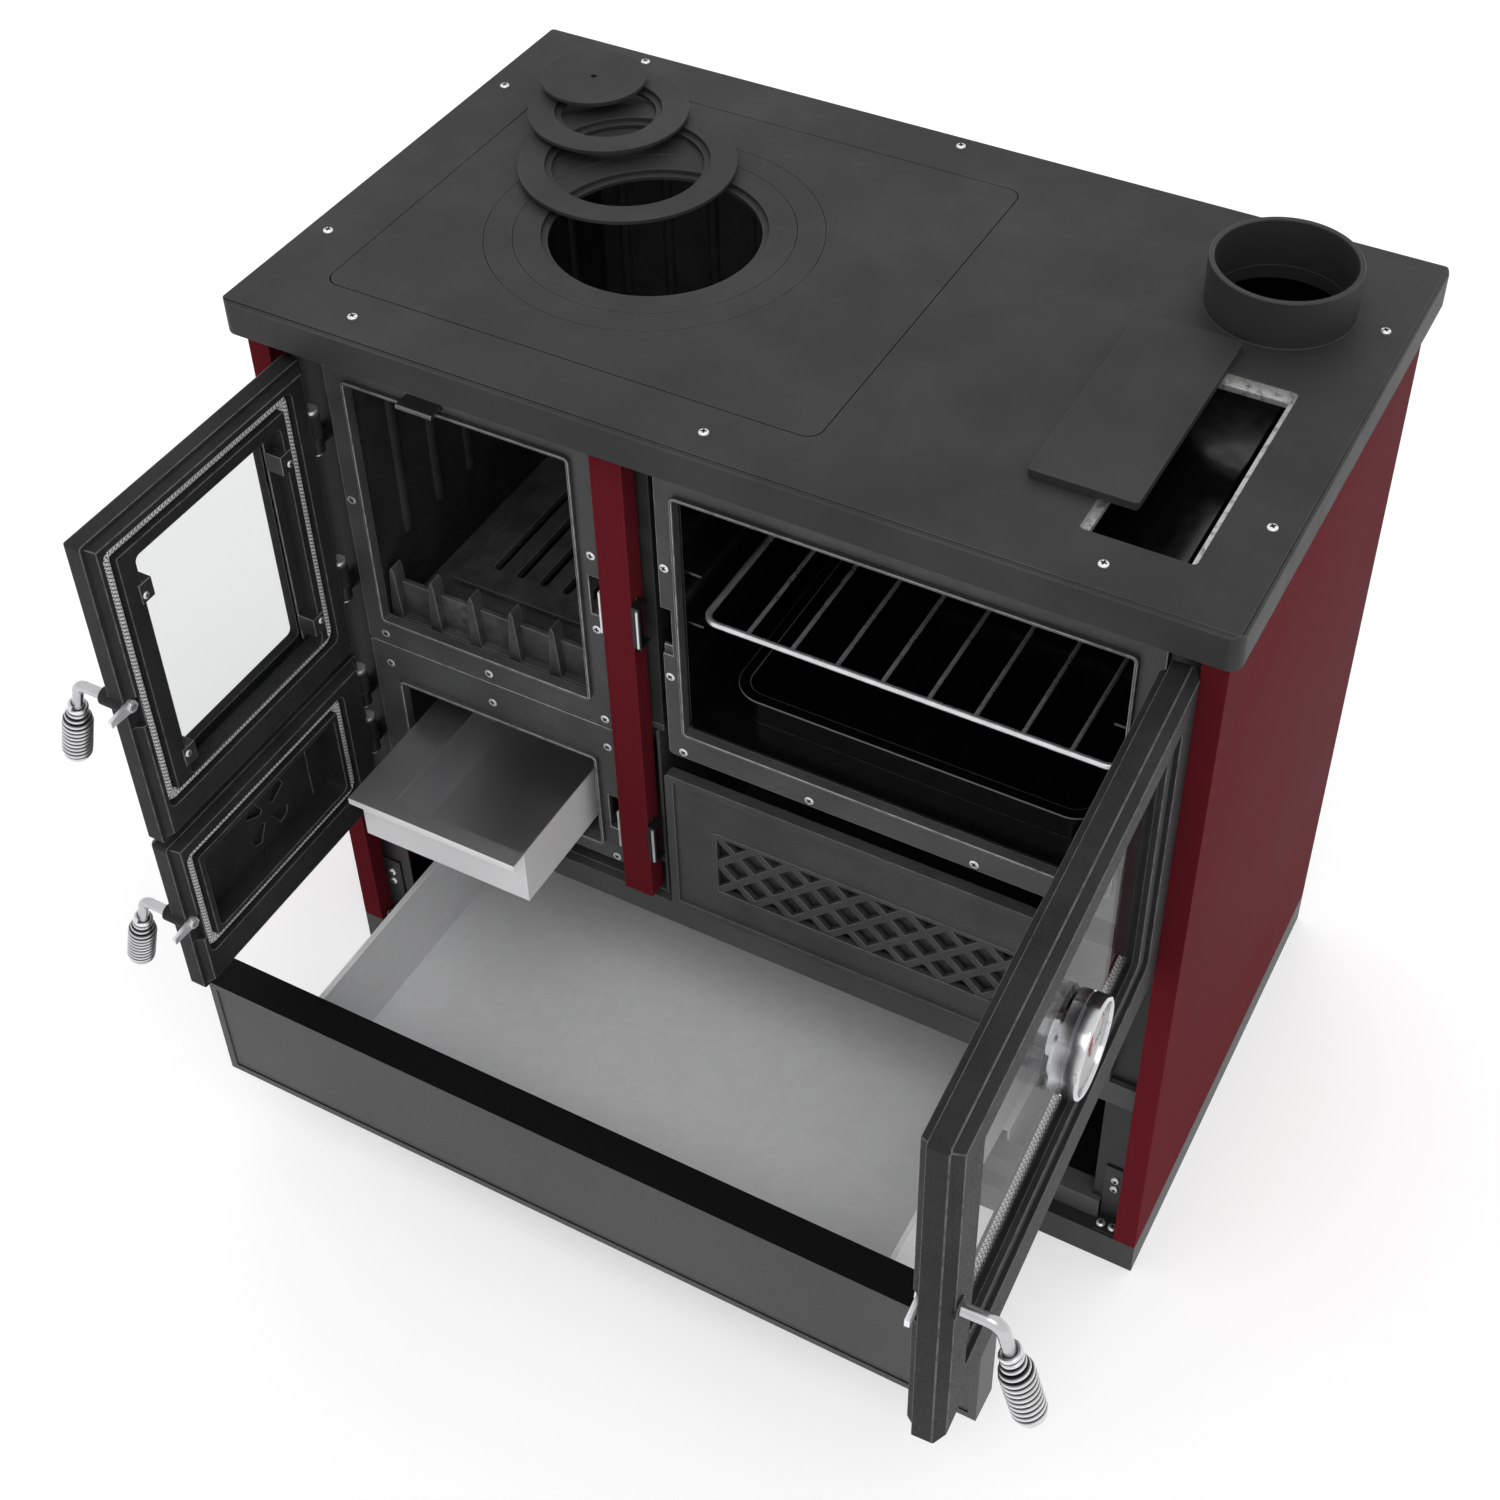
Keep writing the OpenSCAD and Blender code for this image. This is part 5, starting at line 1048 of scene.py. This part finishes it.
class COOKSTOVE_OT_thermometer(StoveOperator, bpy.types.Operator):
    """Work the oven thermometer: case, printed dial, pointer and lens."""
    bl_idname = "cookstove.thermometer"
    bl_label = "Thermometer"

    stem = 10.0 * MM
    stem_share = 0.4
    shoulder = 3.0 * MM
    # Case wall from back to front, in millimetres: how far in from its rim, and how far behind its front
    wall = ((0.0, 13.6), (1.1, 13.2), (1.1, 12.0), (0.0, 11.6), (0.0, 2.4),
            (0.8, 0.7), (2.4, 0.0), (3.6, 0.3), (4.0, 1.0), (4.8, 6.0))
    well = 6.0 * MM

    hub_radius, hub_depth = 1.5 * MM, 3.0 * MM
    dial_depth = 5.0 * MM
    dial_thick = 0.95 * MM
    dial_edge, dial_lip, dial_fall = 5.6 * MM, 5.2 * MM, 0.3 * MM
    lens_depth, lens_edge = 2.6 * MM, 4.7 * MM
    lens_rise, lens_thick = 1.6 * MM, 1.0 * MM

    scale_from, scale_step, scale_marks = 210.0, 8.0, 31
    # Length, width and distance from the dial's centre
    long_mark = (4.6 * MM, 0.9 * MM, 30.6 * MM)
    short_mark = (2.8 * MM, 0.45 * MM, 31.5 * MM)
    mark_thick = 0.2 * MM
    numbers_out, number_size = 22.0 * MM, 9.0 * MM
    arc_between = (25.6 * MM, 27.8 * MM)
    arc_from, arc_sweep = 50.0, 80.0
    ink = 0.08 * MM

    def execute(self, context):
        worked("thermometer_pointer", 0.0)
        low, high = shut_box("oven", "thermometer_case")
        axis = Vector(((low.x + high.x) / 2, 0.0, (low.z + high.z) / 2))
        reach, front, shell = (high.x - low.x) / 2, low.y, high.y - self.stem
        stem = self.stem_share * reach
        wall = [(reach - inset * MM, front + depth * MM) for inset, depth in self.wall]
        self.turn(axis, "thermometer_case", "case_metal", [
            (0.0, high.y), (stem, high.y), (stem, shell), (reach - self.shoulder, shell),
            (reach, shell - self.shoulder), *wall, (0.0, front + self.well)])
        face = front + self.dial_depth
        hub, back = front + self.hub_depth, face + self.dial_thick
        self.turn(axis, "thermometer_dial", "dial_white", [
            (0.0, hub), (self.hub_radius, hub), (self.hub_radius, face), (reach - self.dial_edge, face),
            (reach - self.dial_lip, face + self.dial_fall), (reach - self.dial_lip, back), (0.0, back)])
        self.print_dial(Vector((axis.x, face, axis.z)))
        self.fit_lens(axis, front + self.lens_depth, reach - self.lens_edge)
        return {"FINISHED"}

    def turn(self, axis, node, finish, profile):
        """Turned form from (radius, depth) pairs, in place of a CAD node."""
        shape = bmesh.new()
        lathe(shape, [(axis.x + r, y, axis.z) for r, y in profile], axis, (0.0, 1.0, 0.0), 72)
        turn_shape(shape, opened("oven"))
        make_piece(node + "_turned", shape, BODY_OF[node], SLOT_OF[node], [node], finish=finish)

    def print_dial(self, centre):
        """Marks every 10 degrees, longer ones every 50, numbers every 100 and a red arc over the hottest."""
        face = centre.y - self.mark_thick / 2

        def on_dial(out, degrees):
            way = math.radians(degrees)
            return Vector((centre.x + out * math.cos(way), face, centre.z + out * math.sin(way)))

        marks = bmesh.new()
        for step in range(self.scale_marks):
            degrees = self.scale_from - step * self.scale_step
            tall, wide, out = self.short_mark if step % 5 else self.long_mark
            turn = rotation(90.0, "X") @ rotation(degrees, "Z")
            size = Matrix.Diagonal((tall, wide, self.mark_thick, 1.0))
            place = Matrix.Translation(on_dial(out, degrees)) @ turn @ size
            bmesh.ops.create_cube(marks, size=1.0, matrix=place)
        for step in range(0, self.scale_marks, 10):
            degrees = self.scale_from - step * self.scale_step
            self.print_number(marks, str(step * 10), on_dial(self.numbers_out, degrees))
        turn_shape(marks, opened("oven"))
        make_piece("thermometer_marks", marks, "oven_door", "dial_white", finish="dial_print")
        arc = bmesh.new()
        ends = [arc.verts.new(on_dial(out, self.arc_from)) for out in self.arc_between]
        bmesh.ops.spin(arc, geom=ends + [arc.edges.new(ends)], cent=(centre.x, 0.0, centre.z),
                       axis=(0.0, 1.0, 0.0), angle=math.radians(self.arc_sweep), steps=20)
        bmesh.ops.solidify(arc, geom=arc.faces[:], thickness=self.ink)
        bmesh.ops.recalc_face_normals(arc, faces=arc.faces)
        turn_shape(arc, opened("oven"))
        make_piece("thermometer_arc", arc, "oven_door", "dial_white", finish="pointer_red")

    def print_number(self, shape, words, place):
        text = bpy.data.curves.new("number", "FONT")
        text.body = words
        text.size = self.number_size
        text.align_x, text.align_y = "CENTER", "CENTER"
        text.extrude = self.ink
        text.resolution_u = 3
        holder = bpy.data.objects.new("number", text)
        bpy.context.scene.collection.objects.link(holder)
        bpy.context.view_layer.update()
        mesh = bpy.data.meshes.new_from_object(holder.evaluated_get(bpy.context.evaluated_depsgraph_get()))
        bpy.data.objects.remove(holder)
        mesh.transform(Matrix.Translation(place) @ rotation(90.0, "X"))
        shape.from_mesh(mesh)
        bpy.data.meshes.remove(mesh)

    def fit_lens(self, centre, edge, radius):
        """A shallow clear dome inside the rim."""
        shape = bmesh.new()
        dome = [(radius * t, self.lens_rise * (1 - t * t)) for t in (0.0, 0.2, 0.4, 0.6, 0.8, 0.92, 1.0)]
        outer = [(out, edge - rise) for out, rise in dome]
        inner = [(out, edge + self.lens_thick - rise) for out, rise in reversed(dome)]
        points = [(centre.x + r, y, centre.z) for r, y in outer + inner]
        lathe(shape, points, (centre.x, 0.0, centre.z), (0.0, 1.0, 0.0), 64)
        turn_shape(shape, opened("oven"))
        make_piece("thermometer_lens", shape, "oven_door", "door_glass")


class COOKSTOVE_OT_oven(StoveOperator, bpy.types.Operator):
    """Work the oven liner, the wire rack and the baking tray."""
    bl_idname = "cookstove.oven"
    bl_label = "Oven"

    # Share of the sheet edge's radius along the tray's rim
    tray_share = 1.4

    def execute(self, context):
        edge = context.scene.stove_details.sheet_edge
        worked("oven_box", edge)
        worked("baking_tray", edge * self.tray_share, finish="tray_enamel")
        worked("oven_rack", 0.0, finish="rack_wire")
        return {"FINISHED"}


class COOKSTOVE_OT_drawer(StoveOperator, bpy.types.Operator):
    """Work the wood drawer and the ash pan."""
    bl_idname = "cookstove.drawer"
    bl_label = "Drawer and ash pan"

    def execute(self, context):
        edge = context.scene.stove_details.sheet_edge
        worked("drawer_front", edge, picked_faces=lambda face: face.normal.z > LEVEL)
        worked("drawer_box", edge)
        # The ash pan's outer walls are picked for a painted lit copy of its sheet
        worked("ash_pan", edge, finish="pan_sheet", picked_faces=outer_walls("ash_pan"))
        return {"FINISHED"}


class COOKSTOVE_OT_fasteners(StoveOperator, bpy.types.Operator):
    """Make the cross-head screws, and work the hinge pins and the catches."""
    bl_idname = "cookstove.fasteners"
    bl_label = "Screws, pins and catches"

    strike_width = 4.0 * MM
    catch_edge = 0.3 * MM
    # Bar on a catch: radius, distance in from the catch's side, out from its front, and less than its height
    bar, bar_in, bar_out, bar_less = 1.3 * MM, 2.2 * MM, 0.3 * MM, 5.0 * MM
    # Screw in a glass clip: radius, height of its head, and distances in from the clips' sides and ends
    clip_screw, clip_head = 3.4 * MM, 1.6 * MM
    clip_side, clip_low, clip_high = 5.0 * MM, 23.0 * MM, 33.0 * MM
    # How far a cross is turned for each metre that its screw stands along X and up Z
    clip_spin = (30.0, 50.0)
    body_spin = (40.0, 90.0)
    # Head of a screw in shares of its radius and height: rim and dome, then arm, half width, depth and taper
    dome = ((1.0, 0.0), (1.0, 0.35), (0.93, 0.66), (0.7, 0.93))
    cross_arm, cross_half, cross_depth, cross_taper = 0.58, 0.2, 0.55, 0.75

    def execute(self, context):
        worked("hinge_pins", context.scene.stove_details.sheet_edge)
        self.make_catches()
        self.make_screws()
        self.screw_clips()
        return {"FINISHED"}

    def make_catches(self):
        """Bright strikes left of the centre post, and dark catches right of it with a plated bar on each."""
        node = "door_catches"
        body, slot = BODY_OF[node], SLOT_OF[node]
        for narrow, name, finish in ((True, "strikes", "screw_steel"), (False, "blocks", "hinge_black")):
            shape = merged_copy(node)
            for verts in islands(shape):
                low, high = box_of(verts)
                if (high.x - low.x < self.strike_width) != narrow:
                    bmesh.ops.delete(shape, geom=list(verts), context="VERTS")
            round_edges(shape, self.catch_edge)
            make_piece(node + "_" + name, shape, body, slot, [node], finish=finish)
        bars = bmesh.new()
        shape = merged_copy(node)
        for verts in islands(shape):
            low, high = box_of(verts)
            if high.x - low.x > self.strike_width:
                at = Vector((high.x - self.bar_in, low.y - self.bar_out, (low.z + high.z) / 2))
                bmesh.ops.create_cone(bars, cap_ends=True, segments=12, radius1=self.bar, radius2=self.bar,
                                      depth=high.z - low.z - self.bar_less, matrix=Matrix.Translation(at))
        shape.free()
        make_piece("catch_bars", bars, body, slot, finish="screw_steel")

    def screw_clips(self):
        """A small screw through each tab that holds the fire door's glass."""
        shape = bmesh.new()
        painted_shade = shape.faces.layers.float.new("painted_shade")
        low, high = shut_box("fire", "fire_glass_clips")
        for x in (low.x + self.clip_side, high.x - self.clip_side):
            for z in (low.z + self.clip_low, high.z - self.clip_high):
                place = opened("fire") @ Matrix.Translation((x, high.y, z)) @ rotation(-90.0, "X")
                place = place @ self.cross_turn(x, z, self.clip_spin)
                # The cross recess is marked for painted shade
                for face in self.add_head(shape, place, self.clip_screw, self.clip_head):
                    face[painted_shade] = 1.0
        bmesh.ops.recalc_face_normals(shape, faces=shape.faces)
        make_piece("clip_screws", shape, BODY_OF["fire_glass_clips"], SLOT_OF["body_screws"], (), 40.0)

    def make_screws(self):
        """Swaps each plain head of the CAD node for a domed one with a cross recess."""
        node = "body_screws"
        shape = bmesh.new()
        painted_shade = shape.faces.layers.float.new("painted_shade")
        plain = merged_copy(node)
        for low, high in [box_of(verts) for verts in islands(plain)]:
            size = high - low
            thin = min(range(3), key=lambda i: size[i])
            radius = max(size) / 2
            # Heads on the front, thin along Y, look forward, and the others look up
            at = (low + high) / 2
            at[thin] = high[thin] if thin == 1 else low[thin]
            place = Matrix.Translation(at) @ rotation(90.0 if thin == 1 else 0.0, "X")
            place = place @ self.cross_turn(at.x, at.z, self.body_spin)
            # The cross recess is marked for painted shade
            for face in self.add_head(shape, place, radius, size[thin]):
                face[painted_shade] = 1.0
        plain.free()
        bmesh.ops.recalc_face_normals(shape, faces=shape.faces)
        make_piece(node + "_cross", shape, BODY_OF[node], SLOT_OF[node], [node], 40.0)

    def cross_turn(self, x, z, spin):
        """Each cross stands at its own angle, as screws do once they are tight."""
        return Matrix.Rotation(x * spin[0] + z * spin[1], 4, "Z")

    def add_head(self, shape, place, radius, height):
        """Domed rim and flat crown with a plus-shaped hole. It returns the hole's sunk walls and floor, which
        the callers mark for painted shade.
        """
        before = len(shape.verts)
        loops = []
        for out, rise in self.dome:
            ring = bmesh.ops.create_circle(shape, cap_ends=False, segments=20, radius=out * radius,
                                           matrix=Matrix.Translation((0, 0, rise * height)))["verts"]
            loops.append([e for v in ring for e in v.link_edges])
        for lower, upper in zip(loops, loops[1:]):
            bmesh.ops.bridge_loops(shape, edges=list(dict.fromkeys(lower + upper)))
        arm, half = self.cross_arm * radius, self.cross_half * radius
        corners = [(arm, -half), (arm, half), (half, half), (half, arm), (-half, arm), (-half, half),
                   (-arm, half), (-arm, -half), (-half, -half), (-half, -arm), (half, -arm), (half, -half)]
        top = [shape.verts.new((x, y, height)) for x, y in corners]
        rim = [shape.edges.new(pair) for pair in zip(top, top[1:] + top[:1])]
        crown = list(dict.fromkeys(loops[-1]))
        bmesh.ops.triangle_fill(shape, use_beauty=True, use_dissolve=False,
                                edges=[e for e in crown if len(e.link_faces) < 2] + rim)
        walls = bmesh.ops.extrude_edge_only(shape, edges=rim)["geom"]
        verts = [part for part in walls if isinstance(part, bmesh.types.BMVert)]
        bmesh.ops.translate(shape, verts=verts, vec=(0.0, 0.0, -self.cross_depth * height))
        bmesh.ops.scale(shape, verts=verts, vec=(self.cross_taper, self.cross_taper, 1.0))
        floor = bmesh.ops.contextual_create(shape, geom=verts)["faces"]
        shape.verts.ensure_lookup_table()
        bmesh.ops.transform(shape, matrix=place, verts=shape.verts[before:])
        return floor + [part for part in walls if isinstance(part, bmesh.types.BMFace)]


PIECE_OPERATORS = (
    COOKSTOVE_OT_carcass, COOKSTOVE_OT_fronts, COOKSTOVE_OT_firebox, COOKSTOVE_OT_cooktop,
    COOKSTOVE_OT_doors, COOKSTOVE_OT_seals, COOKSTOVE_OT_handles, COOKSTOVE_OT_thermometer,
    COOKSTOVE_OT_oven, COOKSTOVE_OT_drawer, COOKSTOVE_OT_fasteners,
)


class COOKSTOVE_PT_panel(bpy.types.Panel):
    """Lists the stove's finishes, sizes and pieces."""
    bl_idname = "COOKSTOVE_PT_panel"
    bl_label = "Cookstove"
    bl_space_type = "VIEW_3D"
    bl_region_type = "UI"
    bl_category = "Cookstove"

    def draw(self, context):
        layout = self.layout
        for group in (context.scene.stove_finishes, context.scene.stove_details, context.scene.stove_stage):
            box = layout.box()
            for name in group.__annotations__:
                box.prop(group, name)
        for operator in (COOKSTOVE_OT_stage, *PIECE_OPERATORS):
            layout.operator(operator.bl_idname)


CLASSES = (StoveFinishes, StoveDetails, StoveStage, COOKSTOVE_OT_stage, *PIECE_OPERATORS, COOKSTOVE_PT_panel)


def register():
    for item in CLASSES:
        bpy.utils.register_class(item)
    bpy.types.Scene.stove_finishes = PointerProperty(type=StoveFinishes)
    bpy.types.Scene.stove_details = PointerProperty(type=StoveDetails)
    bpy.types.Scene.stove_stage = PointerProperty(type=StoveStage)


def unregister():
    del bpy.types.Scene.stove_stage
    del bpy.types.Scene.stove_details
    del bpy.types.Scene.stove_finishes
    for item in reversed(CLASSES):
        bpy.utils.unregister_class(item)


def main():
    register()
    bpy.ops.cookstove.stage()
    for operator in PIECE_OPERATORS:
        group, name = operator.bl_idname.split(".")
        getattr(getattr(bpy.ops, group), name)()


if __name__ == "__main__":
    main()
